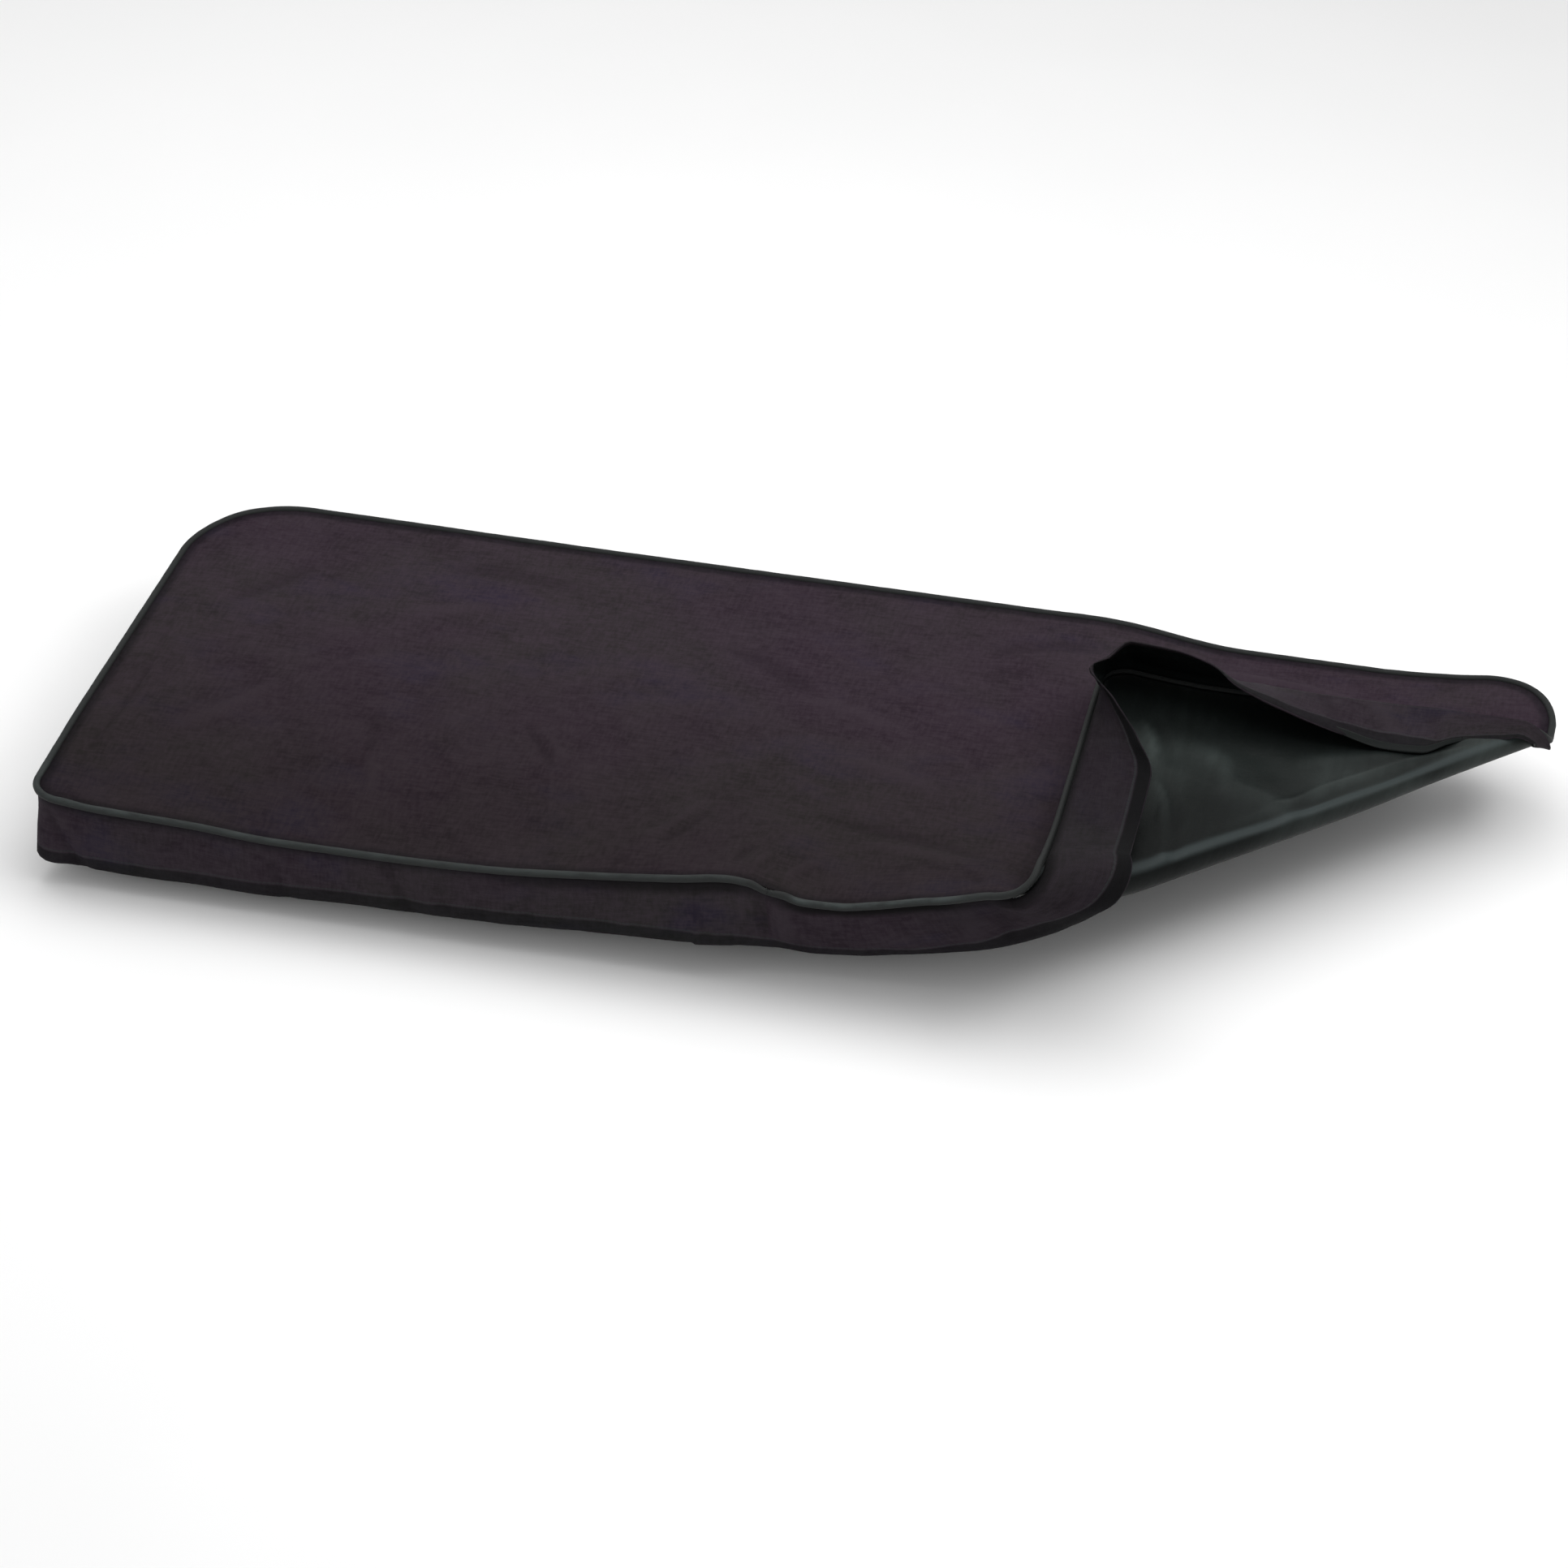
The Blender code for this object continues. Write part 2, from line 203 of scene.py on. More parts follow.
# the camera of the photograph
CAMERA_PLACE = (0.710, -3.322, 2.210)
CAMERA_RIGHT = (0.9738, 0.2266, 0.0181)
CAMERA_UP = (-0.1402, 0.5361, 0.8324)
CAMERA_BACK = (0.1789, -0.8132, 0.5538)
CAMERA_LENS = 114.62
CAMERA_FAR = 100.0
SENSOR = 36.0

ROOT_TWO = math.sqrt(2)
Level = namedtuple("Level", "at height")
Run = namedtuple("Run", "along x y z")
Share = namedtuple("Share", "along amount")
Crease = namedtuple("Crease", "side x0 y0 x1 y1 width height")
Pleat = namedtuple("Pleat", "along lean top low width height")
Sway = namedtuple("Sway", "scale amount slant")
Lamp = namedtuple("Lamp", "name place wide high power")
Seam = namedtuple("Seam", "here out normal seam along")


def table(kind, *rows):
    """Table whose rows are all of one kind."""
    return tuple(kind(*row) for row in rows)


# heights of the cloth along its front edge and back edge, and of its turned-back end
FRONT_EDGE = table(
    Level, (-0.585, -0.004), (-0.530, -0.010), (-0.450, -0.012), (-0.380, -0.016),
    (-0.280, -0.015), (-0.206, -0.012), (-0.120, -0.003), (-0.053, 0.006), (-0.008, 0.013),
    (0.020, 0.008), (0.050, 0.001), (0.075, 0.002), (0.104, 0.008), (0.150, 0.020), (0.190, 0.025),
    (0.220, 0.019), (0.260, 0.008), (0.300, 0.000), (0.585, 0.000),
)
BACK_EDGE = table(
    Level, (-0.585, 0.000), (-0.200, -0.002), (0.150, -0.002), (0.220, -0.001), (0.330, -0.006),
    (0.450, -0.006), (0.500, -0.005), (0.540, 0.000), (0.585, 0.005),
)
LOW_PART = table(
    Level, (-0.585, 0.000), (0.180, 0.000), (0.310, -0.009), (0.430, -0.009), (0.520, -0.005),
    (0.585, -0.004),
)
# which way the skirt runs from the seam where it is turned back; elsewhere it hangs
SKIRT_RUN = table(
    Run, (-0.620, 0.00, 0.00, -1.00), (-0.530, 0.06, 0.37, -0.93), (-0.480, 0.28, 0.40, -0.88),
    (-0.430, 0.53, 0.34, -0.80), (-0.390, 0.82, 0.28, -0.46), (-0.360, 0.96, 0.15, 0.00),
    (-0.325, 0.99, 0.02, 0.12), (-0.240, 0.99, -0.04, 0.08), (-0.170, 0.97, -0.12, 0.12),
    (-0.110, 0.74, -0.55, 0.36), (-0.060, 0.36, -0.76, 0.50), (-0.022, -0.03, -0.80, 0.59),
    (-0.002, 0.04, -0.80, 0.56), (0.016, 0.02, -0.68, 0.73), (0.055, 0.00, -0.66, 0.75),
    (0.085, 0.00, -0.72, 0.69), (0.110, 0.00, -0.86, 0.50), (0.155, 0.00, -0.96, 0.28),
    (0.200, 0.00, -1.00, 0.08), (0.235, 0.00, -1.00, -0.06), (0.255, 0.00, -1.00, -0.08),
    (0.280, 0.00, -0.99, -0.06), (0.305, -0.03, -0.95, -0.26), (0.330, -0.10, -0.94, -0.28),
    (0.350, -0.30, -0.92, -0.12), (0.365, -0.66, -0.70, 0.24), (0.372, -0.85, -0.45, 0.26),
    (0.380, -0.97, -0.05, 0.16), (0.395, -0.96, 0.14, -0.16), (0.450, -0.88, -0.28, -0.38),
    (0.520, -0.55, -0.40, -0.74), (0.600, 0.00, -0.30, -0.95), (0.660, 0.00, -0.05, -1.00),
)
# how much of the strip lies above the turn of its hem, how far the strip is gathered, and how
# far its hem turns in
SKIRT_MAIN = table(
    Share, (-1.200, 0.053), (-1.000, 0.047), (-0.900, 0.041), (-0.800, 0.041), (-0.700, 0.046),
    (-0.620, 0.054), (-0.570, 0.061), (-0.500, 0.057), (-0.440, 0.058), (-0.400, 0.056),
    (-0.300, 0.057), (0.500, 0.057), (0.620, 0.046),
)
SKIRT_GATHER = table(
    Share, (0.266, 1.00), (0.300, 0.50), (0.330, 0.36), (0.362, 0.30), (0.382, 0.28),
    (0.430, 1.00),
)
HEM_SHARE = table(
    Share, (-0.620, 1.00), (-0.500, 0.90), (-0.400, 0.40), (-0.330, 0.08), (-0.060, 0.00),
    (0.000, 0.00), (0.100, 0.16), (0.260, 0.16), (0.330, 0.06), (0.400, 0.16), (0.500, 0.66),
    (0.620, 1.00),
)
# how far the turned-in hem shows above its usual line
HEM_RISE = table(
    Share, (-0.470, 0.000), (-0.425, 0.010), (-0.385, 0.014), (-0.345, 0.004), (-0.320, 0.001),
    (-0.060, 0.001), (0.150, 0.000), (0.200, 0.008), (0.262, 0.010), (0.285, 0.000),
)
# how dark the skirt looks where it is turned back, and close under the piping
STRIP_SHADE = table(
    Share, (-0.480, 0.00), (-0.420, 0.45), (-0.340, 0.80), (-0.240, 1.00), (-0.050, 1.00),
    (0.000, 0.40), (0.200, 0.25), (0.500, 0.30), (0.620, 0.00),
)
TUCK_SHADE = table(
    Share, (-1.160, 0.00), (-0.800, 0.00), (-0.740, 0.50), (-0.590, 0.70), (-0.560, 0.10),
    (-0.525, 0.90), (-0.430, 1.00), (-0.395, 0.40), (-0.300, 0.80), (-0.060, 0.80), (0.000, 0.20),
)
# how far the top of the skirt is drawn in under the piping
SKIRT_RECESS = table(
    Share, (-1.200, 0.0012), (-0.560, 0.0016), (-0.500, 0.0075), (-0.410, 0.0075),
    (-0.350, 0.0034), (-0.060, 0.0034), (0.020, 0.0010), (0.500, 0.0012),
)
# creases of the cloth as it lies; the side is 0 where it lies flat and 1 where it is turned back
CREASES = table(
    Crease, (0, -0.336, -0.120, -0.322, -0.170, 0.0045, 0.0013),
    (0, -0.352, -0.060, -0.338, -0.120, 0.0060, -0.0010),
    (0, -0.227, -0.045, -0.190, -0.100, 0.0050, -0.0014),
    (0, -0.215, -0.048, -0.182, -0.092, 0.0050, 0.0012),
    (0, -0.062, -0.123, -0.092, -0.178, 0.0050, 0.0013),
    (0, -0.052, -0.128, -0.080, -0.184, 0.0050, -0.0010),
    (0, -0.560, 0.060, -0.561, -0.185, 0.0045, -0.0013),
    (0, -0.552, 0.020, -0.553, -0.160, 0.0050, 0.0010),
    (0, -0.369, 0.090, -0.300, 0.120, 0.0100, 0.0011),
    (0, -0.351, 0.176, -0.240, 0.168, 0.0120, -0.0011),
    (0, -0.090, 0.109, -0.010, 0.060, 0.0110, -0.0012),
    (0, -0.024, 0.050, 0.064, 0.022, 0.0100, 0.0011),
    (0, 0.030, -0.030, 0.120, -0.060, 0.0090, 0.0012),
    (0, 0.050, -0.120, 0.170, -0.150, 0.0090, -0.0013),
    (0, 0.067, -0.146, 0.164, -0.166, 0.0080, 0.0011),
    (0, -0.440, -0.030, -0.500, -0.120, 0.0090, 0.0011),
    (0, -0.470, 0.150, -0.520, 0.080, 0.0100, -0.0010),
    (0, 0.000, 0.218, 0.170, 0.217, 0.0035, -0.0014),
    (0, 0.100, 0.213, 0.480, 0.214, 0.0045, -0.0016),
    (0, 0.270, 0.190, 0.420, 0.176, 0.0060, 0.0015),
    (0, 0.120, 0.160, 0.200, 0.190, 0.0100, -0.0013),
    (0, -0.012, -0.212, -0.004, -0.180, 0.0035, -0.0016),
    (0, 0.004, -0.214, 0.010, -0.186, 0.0035, 0.0014),
    (0, 0.030, -0.216, 0.046, -0.180, 0.0045, 0.0016),
    (0, 0.186, -0.214, 0.166, -0.180, 0.0050, -0.0016),
    (1, 0.288, -0.024, 0.303, -0.084, 0.0035, 0.0026),
    (1, 0.304, -0.086, 0.308, -0.152, 0.0035, 0.0010),
    (1, 0.308, -0.150, 0.303, -0.200, 0.0035, 0.0016),
    (1, 0.298, -0.022, 0.313, -0.090, 0.0035, -0.0026),
    (1, 0.316, -0.100, 0.318, -0.160, 0.0045, -0.0010),
    (1, 0.306, -0.126, 0.330, -0.134, 0.0035, 0.0022),
    (1, 0.304, -0.176, 0.328, -0.166, 0.0035, -0.0024),
    (1, 0.262, 0.060, 0.280, 0.004, 0.0035, 0.0020),
    (1, 0.273, 0.066, 0.292, 0.010, 0.0035, -0.0024),
    (1, 0.318, 0.040, 0.350, -0.030, 0.0120, 0.0030),
    (1, 0.345, 0.050, 0.400, -0.010, 0.0140, -0.0026),
    (1, 0.350, -0.010, 0.420, -0.060, 0.0110, 0.0024),
    (1, 0.400, 0.044, 0.470, 0.070, 0.0100, 0.0020),
    (1, 0.370, -0.050, 0.535, 0.100, 0.0045, 0.0022),
    (1, 0.380, -0.056, 0.538, 0.088, 0.0040, -0.0022),
)
# creases of the skirt: where on the seam, how far each leans, from where to where it runs down
PLEATS = table(
    Pleat, (-1.152, 0.040, 0.05, 1.00, 0.0050, -0.0020),
    (-1.138, 0.034, 0.10, 0.90, 0.0060, 0.0012), (-1.050, -0.016, 0.00, 0.70, 0.0080, 0.0010),
    (-0.965, 0.020, 0.15, 0.95, 0.0060, -0.0014), (-0.868, 0.030, 0.00, 0.85, 0.0060, -0.0018),
    (-0.850, 0.036, 0.00, 0.80, 0.0070, 0.0014), (-0.745, -0.014, 0.10, 0.90, 0.0070, -0.0012),
    (-0.684, 0.018, 0.00, 0.80, 0.0050, 0.0012), (-0.625, 0.022, 0.20, 1.00, 0.0060, -0.0014),
    (-0.573, -0.010, 0.00, 0.70, 0.0040, 0.0014), (-0.562, 0.002, 0.00, 0.75, 0.0032, -0.0034),
    (-0.545, 0.006, 0.00, 0.85, 0.0060, 0.0026), (-0.532, 0.012, 0.00, 0.60, 0.0040, -0.0014),
    (-0.470, 0.020, 0.10, 0.80, 0.0060, -0.0012), (-0.405, -0.020, 0.05, 0.90, 0.0070, 0.0014),
    (-0.384, -0.026, 0.05, 0.95, 0.0050, -0.0018), (-0.335, 0.010, 0.10, 0.95, 0.0060, 0.0012),
    (-0.300, 0.014, 0.15, 0.95, 0.0050, -0.0010), (-0.236, -0.012, 0.10, 0.90, 0.0060, 0.0008),
    (-0.120, 0.010, 0.10, 1.00, 0.0060, -0.0010), (-0.052, 0.010, 0.10, 1.10, 0.0050, -0.0022),
    (-0.030, 0.004, 0.05, 1.10, 0.0040, 0.0026), (-0.012, -0.004, 0.05, 1.10, 0.0045, -0.0026),
    (0.012, -0.010, 0.05, 1.10, 0.0050, 0.0020), (0.046, -0.006, 0.10, 1.00, 0.0060, -0.0012),
    (0.120, 0.020, 0.10, 1.00, 0.0100, 0.0016), (0.170, 0.030, 0.05, 1.00, 0.0080, -0.0016),
    (0.214, 0.040, 0.00, 1.00, 0.0090, 0.0016), (0.262, 0.020, 0.10, 1.00, 0.0060, -0.0012),
)
# soft waves of the skirt
SKIRT_SWAY = table(Sway, (9.0, 0.0022, 2.0), (24.0, 0.0009, 6.0), (70.0, 0.00025, 20.0))
# how strong the painted highlight on the upper side of the piping is along the seam
PIPING_HIGHLIGHT = table(
    Share, (-1.250, 0.5), (-1.120, 0.9), (-0.900, 0.7), (-0.580, 0.6), (-0.570, 0.0),
    (-0.544, 0.0), (-0.530, 1.4), (-0.430, 1.4), (-0.410, 1.0), (-0.375, 0.2), (-0.320, 1.0),
    (-0.060, 1.0), (0.060, 0.2), (0.500, 0.1), (1.900, 0.1), (2.000, 0.4),
)
# wide soft lamps, all of which point at the cover
LAMPS = table(
    Lamp, ("key", (0.1, 0.2, 1.6), 3.2, 1.6, 25.0), ("front", (-1.2, -3.2, 1.7), 3.0, 1.6, 13.0),
    ("side", (1.9, 0.1, 2.2), 1.6, 0.8, 12.0),
)


def colour_value(name, description, red, green, blue):
    """Colour that a user can change."""
    return bpy.props.FloatVectorProperty(
        name=name, description=description, subtype="COLOR", size=4, min=0, max=1,
        default=(red, green, blue, 1.0))


class CoverSizes(bpy.types.PropertyGroup):
    """Sizes that can be changed without changing how the cover lies."""

    cloth: bpy.props.FloatProperty(
        name="Cloth thickness", description="Thickness of the coated cloth", default=0.0008,
        min=0.0003, max=0.002, unit="LENGTH")
    thread: bpy.props.FloatProperty(
        name="Thread pitch", description="Distance from thread to thread in the weave",
        default=0.0007, min=0.0003, max=0.003, unit="LENGTH")
    ripple: bpy.props.FloatProperty(
        name="Ripple", description="Height of the soft unevenness of the cloth", default=0.0013,
        min=0.0, max=0.005, unit="LENGTH")
    stitch: bpy.props.FloatProperty(
        name="Stitch length", description="Length of a stitch with its gap", default=0.0034,
        min=0.001, max=0.01, unit="LENGTH")
    floor_drop: bpy.props.FloatProperty(
        name="Floor drop", description="Distance from the lowest hem to the floor", default=0.014,
        min=0.0, max=0.5, unit="LENGTH")


class CoverColours(bpy.types.PropertyGroup):
    """Colours of the cover and of the floor."""

    cloth: colour_value("Cloth", "Outside of the cloth", 0.0222, 0.0132, 0.0208)
    # lighter threads, and the painted highlight on the ridges of creases
    cloth_light_threads_and_sheen: colour_value(
        "Cloth, lighter threads", "Lighter threads and handled places", 0.0370, 0.0262, 0.0350)
    cloth_grey: colour_value(
        "Cloth, greyer places", "Places where the dye is greyer", 0.0215, 0.0175, 0.0190)
    cloth_blue: colour_value(
        "Cloth, bluer places", "Places where the dye is bluer", 0.0215, 0.0155, 0.0300)
    coating: colour_value("Coating", "Inside of the cloth", 0.0200, 0.0240, 0.0227)
    # paler patches at random, and the painted highlight on the ridges of creases in the coating
    coating_pale: colour_value(
        "Coating, rubbed", "Rubbed places of the coating", 0.0540, 0.0655, 0.0625)
    # painted highlight along the roll of the fold
    coating_fold_highlight: colour_value("Coating, worn", "Coating along the fold", 0.0420, 0.0530, 0.0540)
    piping: colour_value("Piping", "Bias cloth round the piping cord", 0.0090, 0.0105, 0.0102)
    # painted highlight on the piping and on the fold of the hem, and the colour of the hem's
    # stitches
    piping_highlight_and_thread: colour_value(
        "Piping, rubbed", "Rubbed ridges of the piping", 0.0300, 0.0380, 0.0370)
    floor: colour_value("Floor", "Plain floor under the cover", 0.90, 0.90, 0.90)


class Wire:
    """A value in a shader that Python's signs work on."""

    def __init__(self, tree, socket):
        self.tree = tree
        self.socket = socket

    def work(self, operation, *values):
        """Add a Math node."""
        node = self.tree.nodes.new("ShaderNodeMath")
        node.operation = operation
        for slot, value in zip(node.inputs, values):
            join(self.tree, slot, value)
        return Wire(self.tree, node.outputs[0])

    def __add__(self, other):
        return self.work("ADD", self, other)

    __radd__ = __add__

    def __sub__(self, other):
        return self.work("SUBTRACT", self, other)

    def __rsub__(self, other):
        return self.work("SUBTRACT", other, self)

    def __mul__(self, other):
        return self.work("MULTIPLY", self, other)

    __rmul__ = __mul__

    def __truediv__(self, other):
        return self.work("DIVIDE", self, other)

    def __lt__(self, other):
        return self.work("LESS_THAN", self, other)

    def __abs__(self):
        return self.work("ABSOLUTE", self)

    def sine(self):
        return self.work("SINE", self)

    def fraction(self):
        return self.work("FRACT", self)


def join(tree, slot, value):
    """Set a socket to a number, a colour or another node's value."""
    if isinstance(value, Wire):
        tree.links.new(value.socket, slot)
    else:
        slot.default_value = value


class Finish:
    """A material under construction."""

    def __init__(self, name):
        self.material = bpy.data.materials.new(name)
        self.material.use_nodes = True
        self.tree = self.material.node_tree
        self.shader = self.tree.nodes["Principled BSDF"]

    def node(self, kind, settings=None, inputs=None, output=0):
        """Add a node: its settings first, then the values or links of its sockets."""
        node = self.tree.nodes.new(kind)
        for name, value in (settings or {}).items():
            if name == "stops":
                for element, (place, colour) in zip(node.color_ramp.elements, value):
                    element.position = place
                    element.color = colour
            else:
                setattr(node, name, value)
        for name, value in (inputs or {}).items():
            join(self.tree, node.inputs[name], value)
        return Wire(self.tree, node.outputs[output])

    def cloth_place(self):
        """Distances along and across the flat cloth in metres."""
        place = self.node("ShaderNodeUVMap", {"uv_map": "cloth"})
        split = self.tree.nodes.new("ShaderNodeSeparateXYZ")
        join(self.tree, split.inputs[0], place)
        return place, Wire(self.tree, split.outputs[0]), Wire(self.tree, split.outputs[1])

    def stamped(self, name):
        """Number kept on the mesh."""
        return self.node("ShaderNodeAttribute", {"attribute_name": name}, output=2)

    def cloud(self, place, stretch, scale, detail=3.0, roughness=0.5):
        """Noise from 0 to 1, stretched along one thread direction."""
        moved = self.node("ShaderNodeMapping", {}, {"Vector": place, "Scale": stretch})
        return self.node("ShaderNodeTexNoise", {"noise_dimensions": "3D"}, {
            "Vector": moved, "Scale": scale, "Detail": detail, "Roughness": roughness})

    def ramp(self, value, low, high):
        """Value spread from 0 at low to 1 at high."""
        return self.node("ShaderNodeMapRange", {"interpolation_type": "SMOOTHSTEP"}, {
            "Value": value, "From Min": low, "From Max": high})

    def blend(self, share, first, second, kind="MIX"):
        """Colour between two colours."""
        node = self.tree.nodes.new("ShaderNodeMix")
        node.data_type = "RGBA"
        node.blend_type = kind
        join(self.tree, node.inputs[0], share)
        join(self.tree, node.inputs[6], first)
        join(self.tree, node.inputs[7], second)
        return Wire(self.tree, node.outputs[2])

    def tint(self, colour, by):
        """Colour multiplied by another."""
        return self.blend(1.0, colour, by, "MULTIPLY")

    def wear(self, colour, roughness, height, distance, strength):
        """Connect what changes over the surface."""
        bump = self.node("ShaderNodeBump", {}, {
            "Strength": strength, "Distance": distance, "Height": height})
        join(self.tree, self.shader.inputs["Base Color"], colour)
        join(self.tree, self.shader.inputs["Roughness"], roughness)
        join(self.tree, self.shader.inputs["Normal"], bump)

    def gloss(self, level):
        """Set how much the surface mirrors."""
        self.shader.inputs["Specular IOR Level"].default_value = level


def ease(t):
    """Smooth step from 0 to 1."""
    t = np.clip(t, 0.0, 1.0)
    return t * t * (3 - 2 * t)


def row_slopes(places, values):
    """Slope at each row of a table: level at a high or low row, so that no line overshoots."""
    rises = np.diff(values) / np.diff(places)
    slopes = np.zeros(len(values))
    for k in range(1, len(values) - 1):
        if rises[k - 1] * rises[k] > 0:
            slopes[k] = 2 * rises[k - 1] * rises[k] / (rises[k - 1] + rises[k])
    return slopes


def read_table(rows, column, at):
    """Values of a table's column at places along it, on a smooth line through its rows."""
    places = np.array([row[0] for row in rows])
    values = np.array([getattr(row, column) for row in rows])
    slopes = row_slopes(places, values)
    at = np.clip(at, places[0], places[-1])
    k = np.clip(np.searchsorted(places, at) - 1, 0, len(rows) - 2)
    step = places[k + 1] - places[k]
    t = (at - places[k]) / step
    start = (1 + 2 * t) * (1 - t) ** 2 * values[k] + t * (1 - t) ** 2 * step * slopes[k]
    stop = t * t * (3 - 2 * t) * values[k + 1] + t * t * (t - 1) * step * slopes[k + 1]
    return start + stop


def unit(vectors):
    """Vectors of length 1."""
    return vectors / np.linalg.norm(vectors, axis=-1, keepdims=True)


def lift(x, y):
    """Height of the cloth above the flat face, before it rolls."""
    front = read_table(FRONT_EDGE, "height", x) * (1 - ease((y + HALF_DEPTH) / FRONT_LIFT_WIDTH))
    back = read_table(BACK_EDGE, "height", x) * (1 - ease((HALF_DEPTH - y) / BACK_SAG_WIDTH))
    left = -EDGE_DROOP * (1 - ease((x + HALF_LENGTH) / EDGE_DROOP_WIDTH))
    puff = PUFF_HEIGHT * np.exp(-((x - PUFF_X) ** 2 + (y - PUFF_Y) ** 2) / PUFF_REACH ** 2)
    return front + back + left + puff + read_table(LOW_PART, "height", x)


def roll_turn(x, y):
    """How far the cloth has turned over at places of the flat cut, from 0 to half a turn."""
    over = ((x - ROLL_START_X) - (y + HALF_DEPTH)) / ROOT_TWO
    along = ((x - ROLL_START_X) + (y + HALF_DEPTH)) / ROOT_TWO
    share = np.clip(along / ROLL_RUN, 0.0, 1.0)
    radius = ROLL_RADIUS_FRONT + (ROLL_RADIUS_END - ROLL_RADIUS_FRONT) * share
    return over, along, radius, np.clip(over / radius, 0.0, math.pi)


def carry(x, y):
    """Where points of the flat panel lie: still flat, round the roll or turned back."""
    over, along, radius, turn = roll_turn(x, y)
    across = radius * np.sin(turn) + np.minimum(over, 0.0)
    across = across - np.maximum(over - math.pi * radius, 0.0)
    place_x = ROLL_START_X + (along + across) / ROOT_TWO
    place_y = -HALF_DEPTH + (along - across) / ROOT_TWO
    return np.stack([place_x, place_y, radius * (1 - np.cos(turn)) + lift(place_x, place_y)], -1)


def seam_frames(x, y, out_x, out_y, along):
    """Edge points, and the directions out of the panel, up from its outside and along the seam."""
    small = 0.0001
    dx = (carry(x + small, y) - carry(x - small, y)) / (2 * small)
    dy = (carry(x, y + small) - carry(x, y - small)) / (2 * small)
    normal = unit(np.cross(dx, dy))
    out = unit(dx * out_x[:, None] + dy * out_y[:, None])
    return Seam(carry(x, y), out, normal, unit(np.cross(normal, out)), along)


def straight(x0, y0, x1, y1):
    """Straight part of the cut's edge: its kind, its length and its two ends."""
    return "line", math.hypot(x1 - x0, y1 - y0), x0, y0, x1, y1


def rounded(x, y, radius, start, stop):
    """Rounded corner of the cut: its kind, its length, its centre, radius and two angles."""
    return "arc", abs(stop - start) * radius, x, y, radius, start, stop


def rim_parts():
    """Straight and round parts of the cut's edge from the middle of the turned-back corner."""
    quarter = math.pi / 2
    right, left, front, back = HALF_LENGTH, -HALF_LENGTH, -HALF_DEPTH, HALF_DEPTH
    near_x, near_y = right - FRONT_RADIUS, front + FRONT_RADIUS
    far_x, far_y = right - BACK_RIGHT_RADIUS, back - BACK_RIGHT_RADIUS
    left_x, left_y = left + BACK_LEFT_RADIUS, back - BACK_LEFT_RADIUS
    return (
        rounded(near_x, near_y, FRONT_RADIUS, -quarter / 2, 0.0),
        straight(right, near_y, right, far_y),
        rounded(far_x, far_y, BACK_RIGHT_RADIUS, 0.0, quarter),
        straight(far_x, back, left_x, back),
        rounded(left_x, left_y, BACK_LEFT_RADIUS, quarter, 2 * quarter),
        straight(left, left_y, left, near_y),
        rounded(-near_x, near_y, FRONT_RADIUS, 2 * quarter, 3 * quarter),
        straight(-near_x, front, near_x, front),
        rounded(near_x, near_y, FRONT_RADIUS, -quarter, -quarter / 2),
    )


def rim_at(distance, parts):
    """Place on the flat cut's edge and the direction out of it."""
    for part in parts:
        if distance <= part[1]:
            break
        distance -= part[1]
    share = min(distance / part[1], 1.0)
    if part[0] == "line":
        x0, y0, x1, y1 = part[2:]
        run_x, run_y = x1 - x0, y1 - y0
        return x0 + run_x * share, y0 + run_y * share, run_y / part[1], -run_x / part[1]
    centre_x, centre_y, radius, start, stop = part[2:]
    angle = start + (stop - start) * share
    c, s = math.cos(angle), math.sin(angle)
    return centre_x + radius * c, centre_y + radius * s, c, s


def walk_seam(step):
    """Frames round the whole seam from the piping's joint, about a step apart, and its length."""
    parts = rim_parts()
    whole = sum(part[1] for part in parts)
    joint = whole - parts[-1][1] - (HALF_LENGTH - FRONT_RADIUS - JOINT_X)
    count = round(whole / step)
    walked = np.arange(count + 1) * whole / count
    places = np.array([rim_at((joint + w) % whole, parts) for w in walked])
    along = joint + walked - whole
    front_left = whole - sum(part[1] for part in parts[-3:])
    along = np.where(along > front_left - FRONT_RADIUS, along - whole, along)
    return seam_frames(*places.T, along), walked, whole


def piping_centre(seam):
    """Centre of the cord in the seam."""
    return seam.here + seam.out * (PIPING_RADIUS + PIPING_GAP)


def waver(values, scale, seed):
    """Smooth uneven numbers from -1 to 1 along a line."""
    return np.array([noise.noise(Vector((value * scale, seed, 0.37))) for value in values])


def pin_sheet(name, lines, across, materials, cloth, inward=False):
    """Make a sheet from rows of points, with the flat cloth's own places as its UV map."""
    columns, rows = lines.shape[:2]
    mesh = bpy.data.meshes.new(name)
    faces = [(c * rows + r, (c + 1) * rows + r, (c + 1) * rows + r + 1, c * rows + r + 1)
             for c in range(columns - 1) for r in range(rows - 1)]
    if inward:
        faces = [face[::-1] for face in faces]
    mesh.from_pydata(lines.reshape(-1, 3).tolist(), [], faces)
    layer = mesh.uv_layers.new(name="cloth")
    corners = np.zeros(len(mesh.loops), int)
    mesh.loops.foreach_get("vertex_index", corners)
    layer.data.foreach_set("uv", across.reshape(-1, 2)[corners].ravel())
    for material in materials:
        mesh.materials.append(material)
    mesh.shade_smooth()
    piece = bpy.data.objects.new(name, mesh)
    bpy.context.scene.collection.objects.link(piece)
    solid = piece.modifiers.new("cloth", "SOLIDIFY")
    solid.thickness = cloth
    solid.offset = 0.0
    solid.material_offset = 1
    solid.material_offset_rim = 0
    return piece


